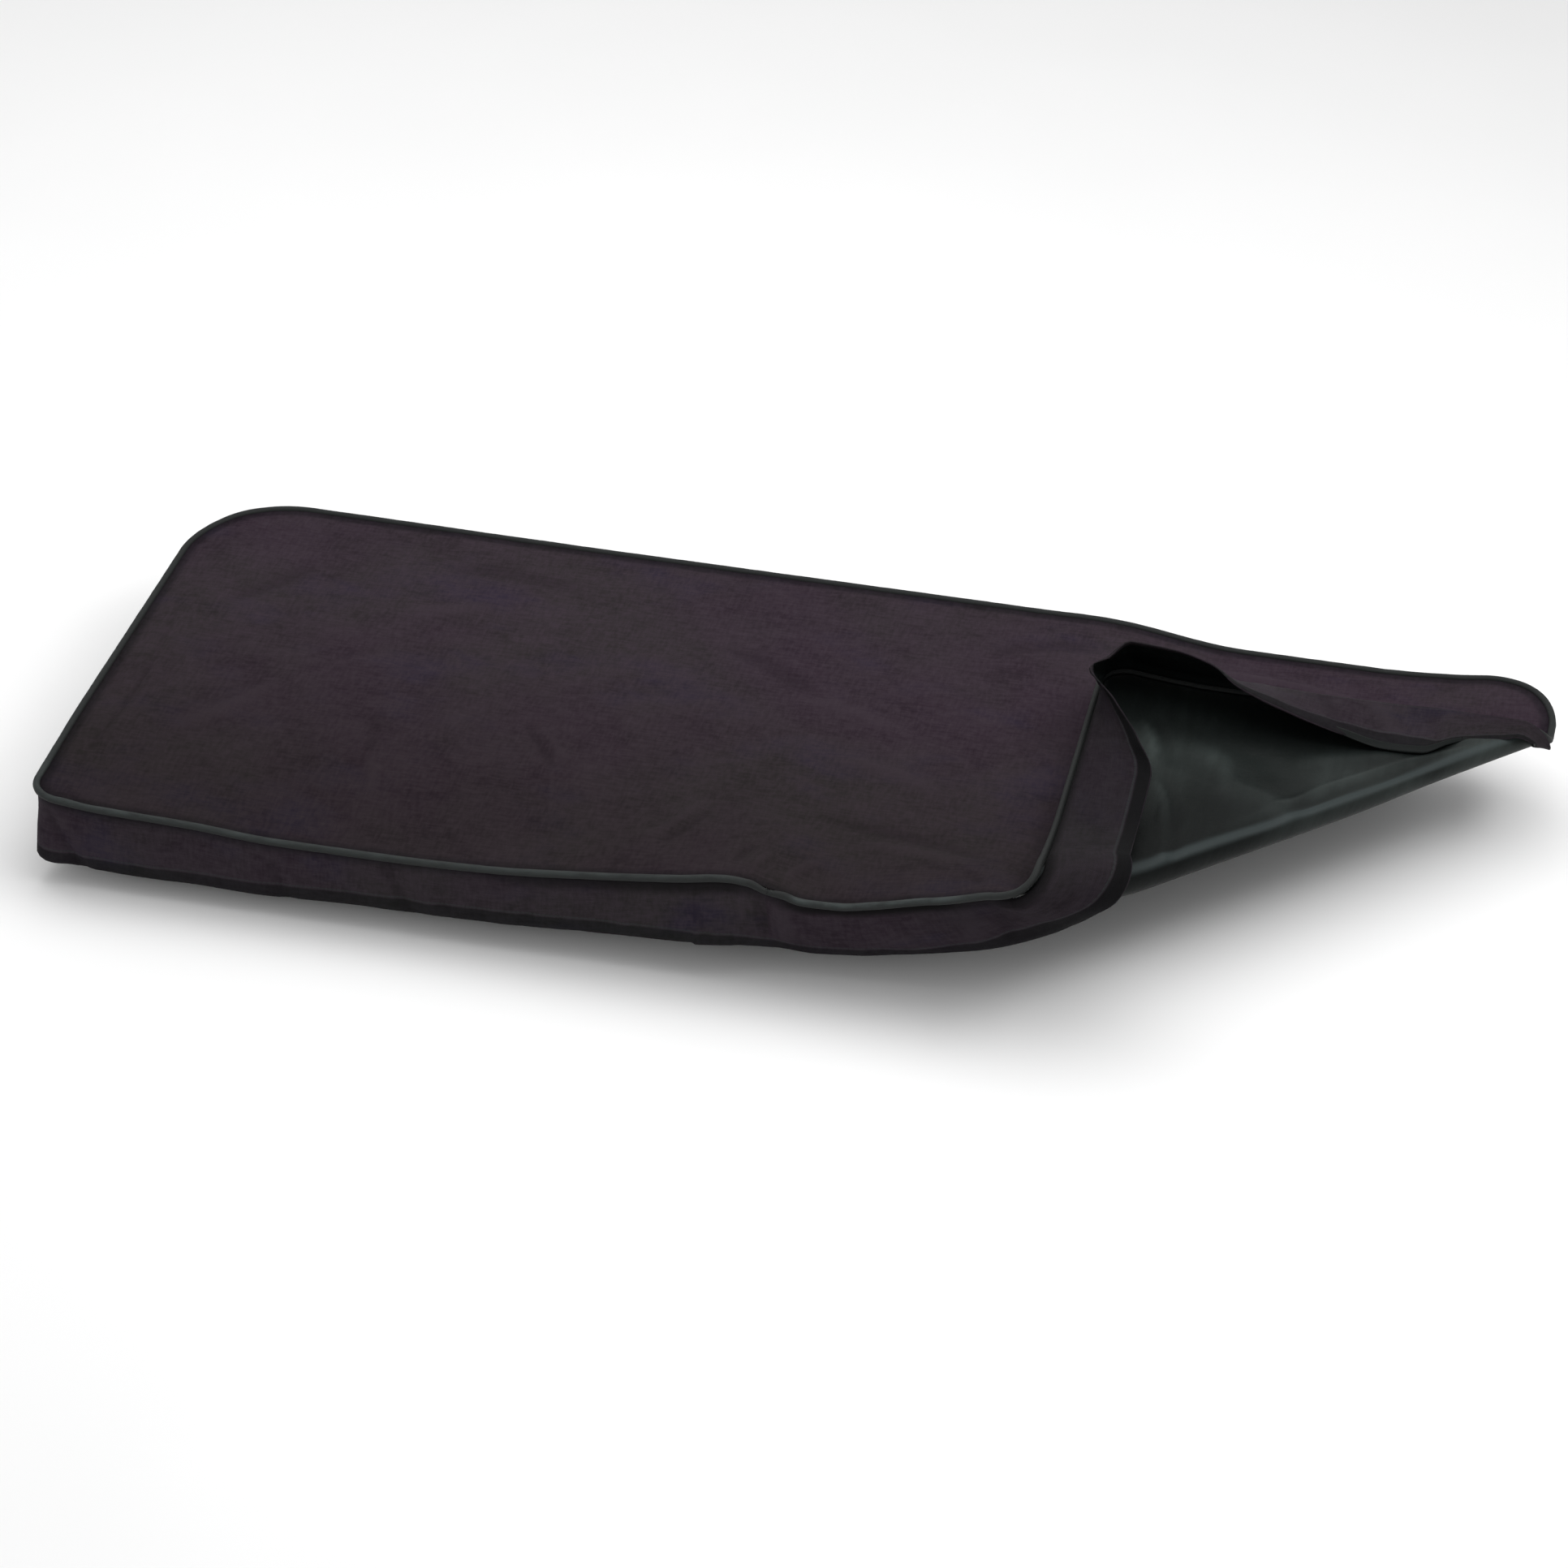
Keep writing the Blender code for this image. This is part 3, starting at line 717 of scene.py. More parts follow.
def finish_mesh(piece, merge):
    """Apply the thickness and close the ring where its two ends meet."""
    bpy.ops.object.select_all(action="DESELECT")
    bpy.context.view_layer.objects.active = piece
    piece.select_set(True)
    if merge:
        bpy.ops.object.mode_set(mode="EDIT")
        bpy.ops.mesh.select_all(action="SELECT")
        bpy.ops.mesh.remove_doubles(threshold=MERGE_GAP)
        bpy.ops.object.mode_set(mode="OBJECT")
    for modifier in list(piece.modifiers):
        bpy.ops.object.modifier_apply(modifier=modifier.name)
    piece.select_set(False)


def stamp(piece, name, values):
    """Keep one number for each point of the mesh for its material."""
    values = values.astype(np.float32).ravel()
    piece.data.attributes.new(name, "FLOAT", "POINT").data.foreach_set("value", values)


def rim_distance(x, y):
    """Distance of places of the flat cut from its edge."""
    right = HALF_LENGTH - np.abs(x)
    end = HALF_DEPTH - np.abs(y)
    away = np.minimum(right, end)
    radius = np.where(y < 0, FRONT_RADIUS, np.where(x < 0, BACK_LEFT_RADIUS, BACK_RIGHT_RADIUS))
    inside = (right < radius) & (end < radius)
    round_away = radius - np.hypot(radius - right, radius - end)
    return np.where(inside, round_away, away)


def round_corners(x, y):
    """Move places of a square sheet into the cut with its rounded corners."""
    radius = np.where(y < 0, FRONT_RADIUS, np.where(x < 0, BACK_LEFT_RADIUS, BACK_RIGHT_RADIUS))
    centre_x = np.sign(x) * (HALF_LENGTH - radius)
    centre_y = np.sign(y) * (HALF_DEPTH - radius)
    radius = radius + EDGE_REACH
    a = (np.abs(x) - np.abs(centre_x)) / radius
    b = (np.abs(y) - np.abs(centre_y)) / radius
    corner = (a > 0) & (b > 0)
    a, b = np.where(corner, a, 1.0), np.where(corner, b, 1.0)
    angle = np.where(a >= b, math.pi / 4 * b / a, math.pi / 2 - math.pi / 4 * a / b)
    reach = np.maximum(a, b) * radius
    return (np.where(corner, centre_x + np.sign(x) * reach * np.cos(angle), x),
            np.where(corner, centre_y + np.sign(y) * reach * np.sin(angle), y))


def crease_height(places, turned):
    """Height that the creases add where the cloth lies."""
    height = np.zeros(len(places))
    for crease in CREASES:
        start = np.array((crease.x0, crease.y0))
        run = np.array((crease.x1, crease.y1)) - start
        t = ((places[:, :2] - start) @ run) / (run @ run)
        bow = CREASE_BOW * np.linalg.norm(run) * np.sin(math.pi * np.clip(t, 0, 1))
        normal = np.array((-run[1], run[0])) / np.linalg.norm(run)
        away = (places[:, :2] - start) @ normal - bow
        ends = ease((t + 0.25) / 0.5) * ease((1.25 - t) / 0.5)
        side = turned if crease.side else 1 - turned
        gain = 1.0 if crease.side else FLAT_GAIN
        height += gain * crease.height * np.exp(-(away / crease.width) ** 2) * ends * side
    return height


def ripples(x, y, scale, seed):
    """Soft unevenness of the cloth at places of the flat cut."""
    return np.array([noise.noise(Vector((u * scale, v * scale, seed))) for u, v in zip(x, y)])


class COVER_OT_panel(bpy.types.Operator):
    """Make the top panel, with the coated inside of its turned-back corner"""

    bl_idname = "cover.panel"
    bl_label = "Top panel"

    def execute(self, context):
        sizes = context.scene.cover_sizes
        columns = round(PANEL_LENGTH / GRID_STEP) + 1
        rows = round(PANEL_DEPTH / GRID_STEP) + 1
        xs = np.linspace(-1, 1, columns) * (HALF_LENGTH + EDGE_REACH)
        ys = np.linspace(-1, 1, rows) * (HALF_DEPTH + EDGE_REACH)
        x, y = (grid.ravel() for grid in np.meshgrid(xs, ys, indexing="ij"))
        x, y = round_corners(x, y)
        away = np.maximum(rim_distance(x, y), 0.0)
        turn = roll_turn(x, y)[-1]
        turned = ease((turn / math.pi - 0.45) / 0.5)
        points = carry(x, y)
        creased = crease_height(points, turned)
        uneven = sum(share * ripples(x, y, scale, seed) for share, scale, seed in PANEL_RIPPLES)
        uneven = sizes.ripple * np.where(turned > 0.5, LINING_UNEVEN, 1.0) * uneven
        calm = ease((away - CALM_EDGE) / CALM_WIDTH)
        pucker = PUCKER_HEIGHT * waver(x * 1.7 + y * 2.3, 60.0, 9.2)
        pucker = pucker * np.exp(-(away - PUCKER_AWAY) ** 2 / PUCKER_SPREAD)
        height = (creased + uneven) * calm + pucker
        points[:, 2] += height * (1 - CALM_ON_ROLL * np.sin(turn))
        dip = EDGE_DIP * (1 - ease(away / EDGE_DIP_WIDTH)) * ease(away / EDGE_DIP_START)
        points[:, 2] -= dip * (1 - turned)
        piece = pin_sheet(
            "cover_panel", points.reshape(columns, rows, 3), np.stack([x, y], -1),
            [cloth_finish(context), coating_finish(context)], sizes.cloth)
        stamp(piece, "edge", np.clip(away / SEAM_SPAN, 0, 1))
        stamp(piece, "roll", turn / math.pi)
        stamp(piece, "crease", np.clip(0.5 + creased * calm / CREASE_SPAN, 0, 1))
        finish_mesh(piece, merge=False)
        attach(piece, "root")
        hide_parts("top_panel")
        return {"FINISHED"}


def skirt_lines(seam):
    """Lines of points down the skirt's cloth and how far down the flat strip each point is."""
    start = piping_centre(seam)
    count = len(start)
    run = np.stack([read_table(SKIRT_RUN, axis, seam.along) for axis in ("x", "y", "z")], -1)
    turned = (seam.along >= SKIRT_RUN[0].along) & (seam.along <= SKIRT_RUN[-1].along)
    hanging = -np.array((0.0, 0.0, 1.0)) - seam.out * HANG_TUCK
    run = unit(np.where(turned[:, None], run, hanging))
    near = seam.along < SKIRT_MAIN[-1].along
    main = np.where(near, read_table(SKIRT_MAIN, "amount", seam.along), PLAIN_MAIN)
    share = np.where(near, read_table(HEM_SHARE, "amount", seam.along), 1.0)
    gather = read_table(SKIRT_GATHER, "amount", seam.along)
    hem = STRIP_WIDTH - SKIRT_CLEAR - SKIRT_ROOT - main
    main_flat, hem_flat = main / MAIN_ROWS, hem / HEM_ROWS
    main, hem = main * gather, (hem + SKIRT_CLEAR) * gather
    inward = unit(np.cross(seam.seam, run))
    recess = read_table(SKIRT_RECESS, "amount", seam.along)[:, None] * -seam.out
    lines = [start - seam.normal * (PIPING_RADIUS + SKIRT_TOP_GAP) + recess]
    down = [np.zeros(count)]
    point = start - seam.normal * (PIPING_RADIUS + SKIRT_CLEAR + SKIRT_ROOT)
    lines.append(point + recess)
    down.append(np.full(count, SKIRT_CLEAR + SKIRT_ROOT))
    for k in range(MAIN_ROWS):
        t = (k + 0.5) / MAIN_ROWS
        bend = float(ease(t / SKIRT_BEND_SHARE))
        point = point + unit(-seam.normal * (1 - bend) + run * bend) * (main / MAIN_ROWS)[:, None]
        lines.append(point + recess * (1 - float(ease(t / RECESS_REACH))))
        down.append(down[-1] + main_flat)
    sides = []
    for k in range(HEM_ROWS):
        angle = HEM_TURN * share * (1 / 3 + 4 / 3 * (k + 0.5) / HEM_ROWS)
        c, s = np.cos(angle)[:, None], np.sin(angle)[:, None]
        point = point + (run * c + inward * s) * (hem / HEM_ROWS)[:, None]
        lines.append(point)
        down.append(down[-1] + hem_flat)
        sides.append(inward * c - run * s)
    folded = fold_hem(lines, sides, hem)
    for k, row in enumerate(folded):
        lines.append(row)
        down.append(down[-1] + (HEM_FOLD_GAP if k == 0 else 0.0) + HEM_FOLD / len(folded))
    hem_line = np.where(
        share > HEM_TURNED, main_flat * MAIN_ROWS + down[1] - HEM_BAND, HEM_LINE)
    window = np.ones(2 * HEM_SMOOTH + 1) / (2 * HEM_SMOOTH + 1)
    hem_line = np.convolve(np.pad(hem_line, HEM_SMOOTH, "wrap"), window, "valid")
    hem_line = hem_line - read_table(HEM_RISE, "amount", seam.along)
    return np.stack(lines, 1), np.stack(down, 1), hem_line


def fold_hem(lines, sides, hem):
    """Rows of the cloth that is folded up inside the hem's edge."""
    last, before = lines[-1], lines[-2]
    onward = unit(last - before)
    side = sides[-1]
    folded = [last + onward * HEM_FOLD_GAP * 0.45 + side * HEM_FOLD_GAP * 0.25,
              last + onward * HEM_FOLD_GAP * 0.45 + side * HEM_FOLD_GAP * 0.75,
              last + side * HEM_FOLD_GAP]
    rows = max(2, round(HEM_FOLD / float(np.median(hem)) * HEM_ROWS))
    for k in range(1, rows + 1):
        place = -1 - k
        folded.append(lines[place] + sides[max(-k, -len(sides))] * HEM_FOLD_GAP)
    return folded


def front_corner(walked, whole):
    """Distance along the seam from the middle of the front left corner."""
    joint_to_corner = JOINT_X + HALF_LENGTH - FRONT_RADIUS + math.pi / 4 * FRONT_RADIUS
    return walked - (whole - joint_to_corner)


def pleat_height(along, walked, down):
    """Height that the skirt's creases add."""
    deep = down / STRIP_WIDTH
    height = np.zeros(down.shape)
    for pleat in PLEATS:
        centre = pleat.along + pleat.lean * deep
        ends = ease((deep - pleat.top) / 0.12) * ease((pleat.low - deep) / 0.2)
        height += pleat.height * np.exp(-((along[:, None] - centre) / pleat.width) ** 2) * ends
    ends = ease((deep - 0.04) / 0.1) * ease((0.80 - deep) / 0.2)
    from_joint = np.minimum(walked, walked[-1] - walked)[:, None]
    return height - JOINT_DIP * np.exp(-(from_joint / JOINT_DIP_WIDTH) ** 2) * ends


def skirt_sway(angle, radius, down):
    """Soft unevenness of the skirt, the same at both ends of its ring."""
    x, y = np.cos(angle) * radius, np.sin(angle) * radius
    height = np.zeros(down.shape)
    for sway in SKIRT_SWAY:
        for r in range(down.shape[1]):
            level = float(np.median(down[:, r])) * sway.slant
            height[:, r] += sway.amount * np.array([
                noise.noise(Vector((a * sway.scale, b * sway.scale, level)))
                for a, b in zip(x, y)])
    return height


class COVER_OT_skirt(bpy.types.Operator):
    """Make the skirt, a strip sewn all round the panel, with its folded hem"""

    bl_idname = "cover.skirt"
    bl_label = "Skirt"

    def execute(self, context):
        sizes = context.scene.cover_sizes
        seam, walked, whole = walk_seam(SKIRT_STEP)
        lines, down, hem_line = skirt_lines(seam)
        lines[-1] = lines[0]
        rows = lines.shape[1]
        depth = down / down[:, -1:]
        facing = np.gradient(lines, axis=0)
        falling = np.gradient(lines, axis=1)
        normal = unit(np.cross(facing, falling))
        loose = ease(depth / LOOSE_FROM) * np.where(depth > HEM_FROM, HEM_LOOSE, 1.0)
        creased = pleat_height(seam.along, walked, down)
        height = skirt_sway(walked / whole * 2 * math.pi, whole / (2 * math.pi), down) + creased
        lines = lines - normal * (height * loose)[:, :, None]
        from_corner = front_corner(walked, whole)
        pull = CORNER_PULL * np.exp(-(from_corner / CORNER_PULL_WIDTH) ** 2)[:, None]
        lines = lines + seam.out[:, None] * (pull * ease(depth / 0.9))[:, :, None]
        lines[-1] = lines[0]
        flat = np.stack([np.repeat(walked[:, None], rows, 1), down], -1)
        piece = pin_sheet("cover_skirt", lines, flat,
                          [strip_finish(context), lining_finish(context)], sizes.cloth, inward=True)
        stamp(piece, "edge", np.clip(down / SEAM_SPAN, 0, 1))
        for name, shares in (("shade", STRIP_SHADE), ("tuck", TUCK_SHADE)):
            stamp(piece, name, np.repeat(read_table(shares, "amount", seam.along), rows))
        stamp(piece, "hem", np.clip(0.5 + (down - hem_line[:, None]) / HEM_SPAN, 0, 1))
        stamp(piece, "crease", np.clip(0.5 + creased / CREASE_SPAN, 0, 1))
        finish_mesh(piece, merge=True)
        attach(piece, "root")
        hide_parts("skirt")
        return {"FINISHED"}


def piping_lines(seam, walked, whole):
    """Rings of points round the cord, and the points that close its two ends."""
    centre = piping_centre(seam)
    forward = unit(np.gradient(centre, axis=0))
    side = unit(seam.out - forward * (seam.out * forward).sum(1, keepdims=True))
    top = unit(np.cross(forward, side))
    from_end = np.minimum(walked, whole - walked)
    tuck = np.exp(-(from_end / END_TUCK) ** 2)
    lumps = sum(share * waver(walked, scale, seed) for share, scale, seed in PIPING_LUMPS)
    thick = PIPING_RADIUS * (1 + lumps) * (1 - END_THIN * tuck)
    knot = KNOT_HEIGHT * np.exp(-((from_end - KNOT_AWAY) / KNOT_WIDTH) ** 2)
    centre = centre - seam.normal * (tuck * END_DOWN - knot)[:, None]
    centre = centre + seam.out * (tuck * END_OUT)[:, None]
    angles = np.arange(PIPING_SIDES) / PIPING_SIDES * 2 * math.pi
    c, s = np.cos(angles)[None, :, None], np.sin(angles)[None, :, None]
    rings = centre[:, None] + (side[:, None] * c + top[:, None] * s) * thick[:, None, None]
    return rings, (centre[0] - forward[0] * CAP_ROUND, centre[-1] + forward[-1] * CAP_ROUND)


def pin_cord(name, rings, caps, walked, material):
    """Make a closed cord from rings of points, with its own length and girth as its UV map."""
    count, sides = rings.shape[:2]
    mesh = bpy.data.meshes.new(name)
    faces = [(r * sides + s, r * sides + (s + 1) % sides,
              (r + 1) * sides + (s + 1) % sides, (r + 1) * sides + s)
             for r in range(count - 1) for s in range(sides)]
    first, last, base = count * sides, count * sides + 1, (count - 1) * sides
    faces += [(first, (s + 1) % sides, s) for s in range(sides)]
    faces += [(last, base + s, base + (s + 1) % sides) for s in range(sides)]
    mesh.from_pydata(rings.reshape(-1, 3).tolist() + [cap.tolist() for cap in caps], [], faces)
    girth = 2 * math.pi * PIPING_RADIUS
    places = []
    for r in range(count - 1):
        for s in range(sides):
            low, high = s / sides * girth, (s + 1) / sides * girth
            places += [(walked[r], low), (walked[r], high),
                       (walked[r + 1], high), (walked[r + 1], low)]
    places += [(0.0, 0.0)] * (6 * sides)
    mesh.uv_layers.new(name="cloth").data.foreach_set("uv", np.array(places).ravel())
    mesh.materials.append(material)
    mesh.shade_smooth()
    piece = bpy.data.objects.new(name, mesh)
    bpy.context.scene.collection.objects.link(piece)
    return piece


class COVER_OT_piping(bpy.types.Operator):
    """Make the piping in the seam, whose two ends are tucked in at the front"""

    bl_idname = "cover.piping"
    bl_label = "Piping"

    def execute(self, context):
        seam, walked, whole = walk_seam(PIPING_STEP)
        rings, caps = piping_lines(seam, walked, whole)
        piece = pin_cord("cover_piping", rings, caps, walked, piping_finish(context))
        # strength of the painted highlight along the cord
        rubbed = np.repeat(read_table(PIPING_HIGHLIGHT, "amount", seam.along), PIPING_SIDES)
        stamp(piece, "rubbed", np.concatenate([rubbed, rubbed[:1], rubbed[-1:]]))
        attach(piece, "root")
        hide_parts("piping")
        return {"FINISHED"}


def weave(u, v, pitch):
    """Height of a plain weave from 0 to 1."""
    turn = math.pi / pitch
    return (u * turn).sine() * (v * turn).sine() * 0.5 + 0.5


def outside(finish, context, place, u, v, dye_scale):
    """Colour, roughness and height of the cloth's outside."""
    colours = context.scene.cover_colours
    # lighter threads, and the painted highlight on crease ridges
    worn = tuple(colours.cloth_light_threads_and_sheen)
    threads = weave(u, v, context.scene.cover_sizes.thread)
    slubs = finish.cloud(place, SLUBS, 1.0, 5.0, 0.7)
    threads_long = finish.cloud(place, LONG_THREADS, 1.0, 2.0, 0.5)
    warps = finish.cloud(place, WARPS, 1.0, 4.0, 0.65)
    dye = finish.cloud(place, EVEN, dye_scale, 4.0, 0.55)
    cast = finish.cloud(place, (1.0, 1.7, 1.0), dye_scale * 1.7, 4.0, 0.6)
    fade = finish.cloud(place, (1.0, 1.6, 1.0), dye_scale * 4.0, 4.0, 0.65)
    greyer = finish.ramp(dye, 0.38, 0.64)
    colour = finish.blend(greyer, tuple(colours.cloth), tuple(colours.cloth_grey))
    bluer = finish.ramp(cast, 0.50, 0.72)
    colour = finish.blend(bluer * 0.9, colour, tuple(colours.cloth_blue))
    lighter = finish.ramp(
        slubs * 0.45 + threads_long * 0.15 + warps * 0.4 + fade * 0.3, 0.50, 0.84)
    darker = finish.ramp(slubs * 0.3 + warps * 0.25 + fade * 0.45, 0.50, 0.34)
    colour = finish.blend(lighter * 0.95, colour, worn)
    dark_threads_and_shade = finish.tint(colour, DARK_THREADS_AND_CREASE_SHADE)
    colour = finish.blend(darker * 0.8, colour, dark_threads_and_shade)
    # painted highlight on the ridges of creases and painted shade in their valleys
    crease = finish.stamped("crease")
    colour = finish.blend(finish.ramp(crease, 0.52, 0.78) * 0.5, colour, worn)
    colour = finish.blend(finish.ramp(crease, 0.48, 0.22) * 0.7, colour, dark_threads_and_shade)
    from_seam = finish.ramp(finish.stamped("edge"), 0.10, 0.50)
    colour = finish.blend(from_seam, finish.tint(colour, SEAM_SHADOW), colour)
    height = threads * 0.4 + slubs * 0.9 + threads_long * 0.4 + warps * 0.4
    return colour, slubs * 0.10 + 0.80, height


def cloth_finish(context):
    """Outside of the panel: fine plain weave, black with an aubergine cast, with painted shade
    toward the front.
    """
    finish = Finish("cover_cloth")
    place, u, v = finish.cloth_place()
    colour, roughness, height = outside(finish, context, place, u, v, 4.2)
    # painted shade, darker toward the front edge
    front = finish.ramp(v, 0.14, -0.22)
    colour = finish.blend(front, colour, finish.tint(colour, FRONT_SHADE))
    finish.wear(colour, roughness, height, CLOTH_BUMP, 0.6)
    finish.gloss(CLOTH_GLOSS)
    return finish.material


def strip_finish(context):
    """Outside of the skirt: the panel's cloth with a row of stitches along its hem, painted shade
    on the turned-back strip, under the piping and on the hem band, and a painted highlight along
    the hem's fold.
    """
    finish = Finish("skirt_cloth")
    place, u, v = finish.cloth_place()
    colour, roughness, height = outside(finish, context, place, u, v, 6.0)
    # the skirt a little darker and greener than the panel
    colour = finish.tint(colour, SKIRT_TINT)
    shade = finish.stamped("shade")
    colour = finish.blend(shade, colour, finish.tint(colour, STRIP_SHADOW))
    # painted shadow close under the piping
    tuck_shadow = finish.ramp(finish.stamped("edge"), 0.78, 0.34) * finish.stamped("tuck")
    colour = finish.blend(tuck_shadow, colour, TUCK_SHADOW_COLOUR)
    from_line = (finish.stamped("hem") - 0.5) * HEM_SPAN
    outer = v < STRIP_WIDTH + HEM_FOLD_GAP
    row = stitch_row(context, u, from_line) * outer
    # painted shade on the hem band below the hem line, nearly black painted shadow where the skirt
    # is turned back
    shaded_hem_band = finish.ramp(from_line, -0.0003, 0.0014) * outer
    dark = finish.blend(shade * 0.7, finish.tint(colour, HEM_SHADOW), HEM_DEEP_SHADOW)
    colour = finish.blend(shaded_hem_band, colour, dark)
    # painted highlight along the hem's fold; the stitches take the same pale colour
    ridge = finish.ramp(abs(from_line + 0.0008), 0.0010, 0.0003) * outer
    pale = tuple(context.scene.cover_colours.piping_highlight_and_thread)
    colour = finish.blend(ridge * 0.22 + row * 0.30, colour, pale)
    finish.wear(colour, roughness, height + row * 1.4, CLOTH_BUMP, 0.6)
    finish.gloss(CLOTH_GLOSS)
    return finish.material


def stitch_row(context, u, from_line):
    """1 on the stitches that hold the hem, 0 elsewhere."""
    length = context.scene.cover_sizes.stitch
    beside = abs(from_line + STITCH_GAP) < STITCH_WIDTH / 2
    return beside * ((u / length).fraction() < STITCH_SHARE)


def coat(finish, context, place, u, v, scale):
    """Colour, roughness and height of the coated inside."""
    colours = context.scene.cover_colours
    threads = weave(u, v, context.scene.cover_sizes.thread)
    cloud = finish.cloud(place, (1.0, 1.5, 1.0), scale, 5.0, 0.62)
    rubbed = finish.cloud(place, (9.0, 90.0, 1.0), 1.0, 4.0, 0.65)
    crumple = finish.cloud(place, EVEN, 38.0, 4.0, 0.55)
    # paler in patches at random, and a painted highlight on the ridges of creases
    pale = finish.ramp(
        cloud * 0.6 + rubbed * 0.25 + finish.stamped("crease") * 0.4, 0.55, 0.92)
    colour = finish.blend(pale * 0.7, tuple(colours.coating), tuple(colours.coating_pale))
    height = crumple * 3.2 + threads * 0.16 + rubbed * 0.3
    return colour, 0.38 - pale * 0.08 + rubbed * 0.06, height


def coating_finish(context):
    """Inside of the panel: grey-green coating with a satin gloss, painted shade on its lower part
    and under the turned-back end, and a painted highlight along the fold.
    """
    finish = Finish("cover_coating")
    place, u, v = finish.cloth_place()
    colour, roughness, height = coat(finish, context, place, u, v, 7.0)
    # painted shade on the lower part of the turned-back coating, beside the roll
    coating_shade = finish.tint(colour, COATING_SHADOW)
    low = finish.ramp(u - v, 0.66, 0.52) * finish.ramp(u + v, 0.62, 0.22)
    colour = finish.blend(low, colour, coating_shade)
    # painted shadow under the turned-back end of the skirt
    shadow_under_strip = finish.ramp(u, 0.475, 0.520) * finish.ramp(v, 0.085, 0.040)
    colour = finish.blend(shadow_under_strip * 0.85, colour, coating_shade)
    # painted highlight along the roll of the fold
    fold_highlight = finish.ramp(abs(finish.stamped("roll") - 0.84), 0.17, 0.03)
    colour = finish.blend(fold_highlight * 0.60, colour, tuple(context.scene.cover_colours.coating_fold_highlight))
    finish.wear(colour, roughness, height, COATING_BUMP, 0.6)
    finish.gloss(COATING_GLOSS)
    return finish.material


def lining_finish(context):
    """Inside of the skirt: the same coating, darker, with the stitches showing through."""
    finish = Finish("skirt_coating")
    place, u, v = finish.cloth_place()
    colour, roughness, height = coat(finish, context, place, u, v, 11.0)
    row = stitch_row(context, u, (finish.stamped("hem") - 0.5) * HEM_SPAN)
    colour = finish.tint(colour, LINING_SHADOW)
    finish.wear(colour, roughness, height + row * 1.2, CLOTH_BUMP, 0.6)
    finish.gloss(CLOTH_GLOSS)
    return finish.material


def piping_finish(context):
    """Bias cloth drawn over a cord: diagonal threads, with a painted highlight on the upper side of
    the cord.
    """
    colours = context.scene.cover_colours
    finish = Finish("piping_cloth")
    place, u, v = finish.cloth_place()
    diagonal = weave(u + v, u - v, BIAS_PITCH)
    cloud = finish.cloud(place, (60.0, 200.0, 1.0), 1.0, 3.0, 0.6)
    drawn = finish.cloud(place, (180.0, 40.0, 1.0), 1.0, 2.0, 0.5)
    patches = finish.cloud(place, (9.0, 30.0, 1.0), 1.0, 3.0, 0.6)
    # painted highlight on the upper side of the cord, as strong as the number kept on the mesh says
    cord_top_highlight = finish.ramp((v / PIPING_RADIUS).sine() * -1.0, -0.3, 0.9)
    pale = finish.ramp(cloud * 0.45 + diagonal * 0.2 + patches * 0.45, 0.36, 0.72)
    pale = pale * cord_top_highlight * finish.stamped("rubbed")
    colour = finish.blend(pale, tuple(colours.piping), tuple(colours.piping_highlight_and_thread))
    height = diagonal * 0.5 + drawn * 1.2
    finish.wear(colour, 0.66 - pale * 0.14, height, PIPING_BUMP, 0.7)
    finish.gloss(PIPING_GLOSS)
    return finish.material


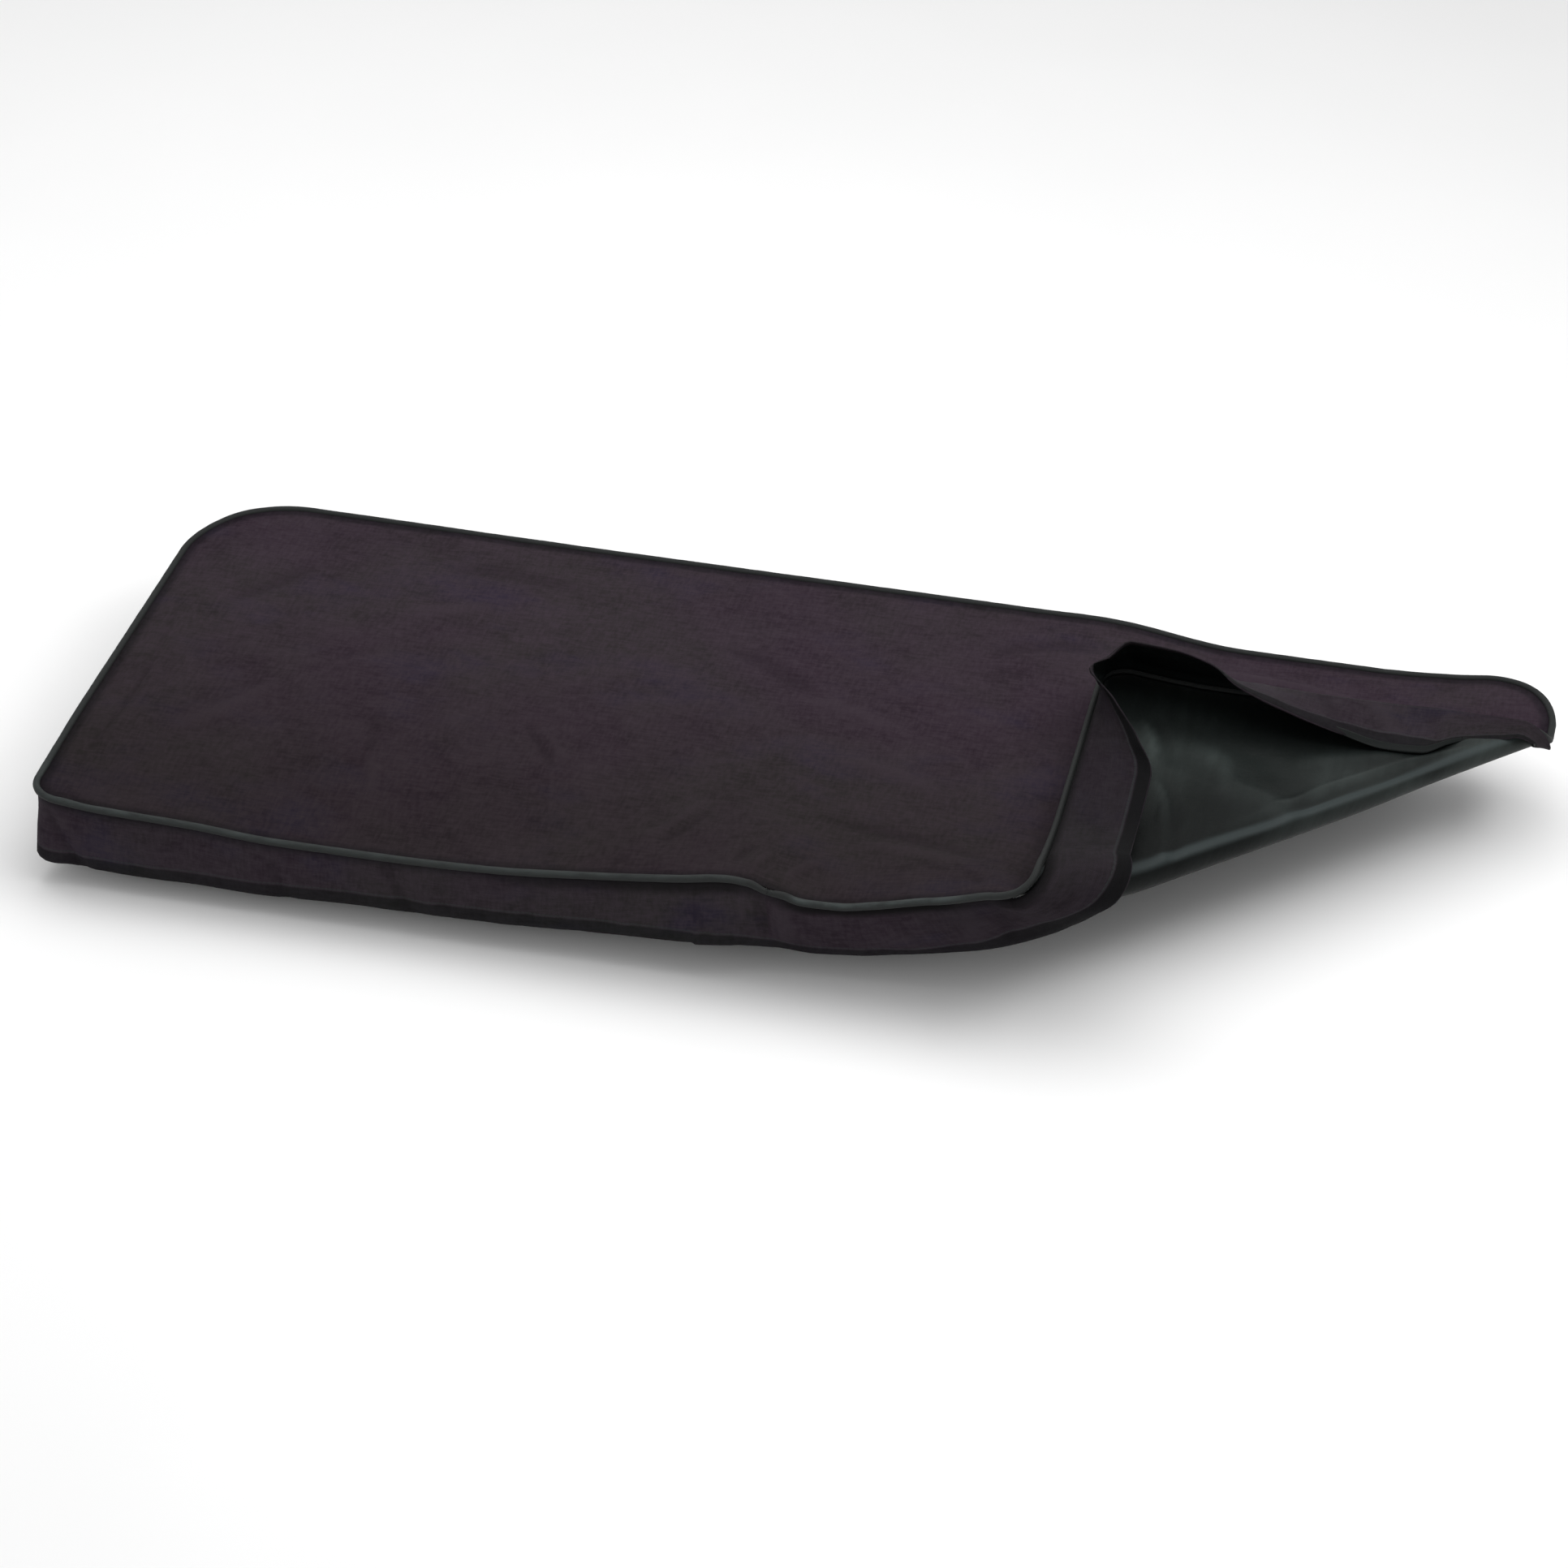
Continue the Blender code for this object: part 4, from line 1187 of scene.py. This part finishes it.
class COVER_OT_stage(bpy.types.Operator):
    """Make the floor, the soft light and the camera"""

    bl_idname = "cover.stage"
    bl_label = "Stage"

    def execute(self, context):
        self.floor(context, CAD_BOX[0][2] - context.scene.cover_sizes.floor_drop)
        for lamp in LAMPS:
            self.light(context, lamp)
        world = bpy.data.worlds.new("soft_light")
        world.use_nodes = True
        sky = world.node_tree.nodes["Background"].inputs
        sky["Color"].default_value = (1.0, 1.0, 1.0, 1.0)
        sky["Strength"].default_value = SKY_STRENGTH
        context.scene.world = world
        context.scene.view_settings.view_transform = "Standard"
        lens = bpy.data.cameras.new("camera")
        lens.sensor_fit = "HORIZONTAL"
        lens.sensor_width = SENSOR
        lens.lens = CAMERA_LENS
        lens.clip_end = CAMERA_FAR
        camera = bpy.data.objects.new("camera", lens)
        context.scene.collection.objects.link(camera)
        axes = Matrix((CAMERA_RIGHT, CAMERA_UP, CAMERA_BACK)).transposed().to_4x4()
        camera.matrix_world = Matrix.Translation(CAMERA_PLACE) @ axes
        context.scene.camera = camera
        return {"FINISHED"}

    def floor(self, context, height):
        """Lay the pale floor."""
        bpy.ops.object.select_all(action="DESELECT")
        bpy.ops.mesh.primitive_plane_add(size=FLOOR_SIZE, location=(0.0, 0.0, height))
        bpy.ops.object.transform_apply(location=True, rotation=True, scale=True)
        floor = context.object
        floor.name = "floor"
        finish = Finish("floor_paper")
        place = finish.node("ShaderNodeTexCoord", output=3)
        grain = finish.node(
            "ShaderNodeTexNoise", {}, {"Vector": place, "Scale": 3.0, "Detail": 2.0})
        colour = tuple(context.scene.cover_colours.floor)
        greyer = tuple(c * FLOOR_SHADE for c in colour)
        shade = finish.blend(finish.ramp(grain, 0.3, 0.7), colour, greyer)
        join(finish.tree, finish.shader.inputs["Base Color"], shade)
        finish.shader.inputs["Roughness"].default_value = 0.9
        finish.gloss(FLOOR_GLOSS)
        floor.data.materials.append(finish.material)

    def light(self, context, lamp):
        """Hang a wide soft lamp that points at the cover."""
        light = bpy.data.lights.new(lamp.name, "AREA")
        light.shape = "RECTANGLE"
        light.size, light.size_y = lamp.wide, lamp.high
        light.energy = lamp.power
        holder = bpy.data.objects.new(lamp.name, light)
        context.scene.collection.objects.link(holder)
        holder.location = lamp.place
        holder.visible_camera = False
        holder.rotation_euler = (-Vector(lamp.place)).to_track_quat("-Z", "Y").to_euler()


class COVER_PT_panel(bpy.types.Panel):
    """Lists the pieces of the dust cover"""

    bl_idname = "COVER_PT_panel"
    bl_label = "Keyboard dust cover"
    bl_space_type = "VIEW_3D"
    bl_region_type = "UI"
    bl_category = "Dust cover"

    def draw(self, context):
        layout = self.layout
        for group in (context.scene.cover_sizes, context.scene.cover_colours):
            for name in group.__annotations__:
                layout.prop(group, name)
        for operator in OPERATORS:
            layout.operator(operator.bl_idname)


OPERATORS = (COVER_OT_stage, COVER_OT_panel, COVER_OT_skirt, COVER_OT_piping)
CLASSES = (CoverSizes, CoverColours, *OPERATORS, COVER_PT_panel)


def register():
    for made in CLASSES:
        bpy.utils.register_class(made)
    bpy.types.Scene.cover_sizes = bpy.props.PointerProperty(type=CoverSizes)
    bpy.types.Scene.cover_colours = bpy.props.PointerProperty(type=CoverColours)


def unregister():
    del bpy.types.Scene.cover_colours
    del bpy.types.Scene.cover_sizes
    for made in reversed(CLASSES):
        bpy.utils.unregister_class(made)


def main():
    register()
    bpy.ops.cover.stage()
    bpy.ops.cover.panel()
    bpy.ops.cover.skirt()
    bpy.ops.cover.piping()
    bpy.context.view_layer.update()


if __name__ == "__main__":
    main()
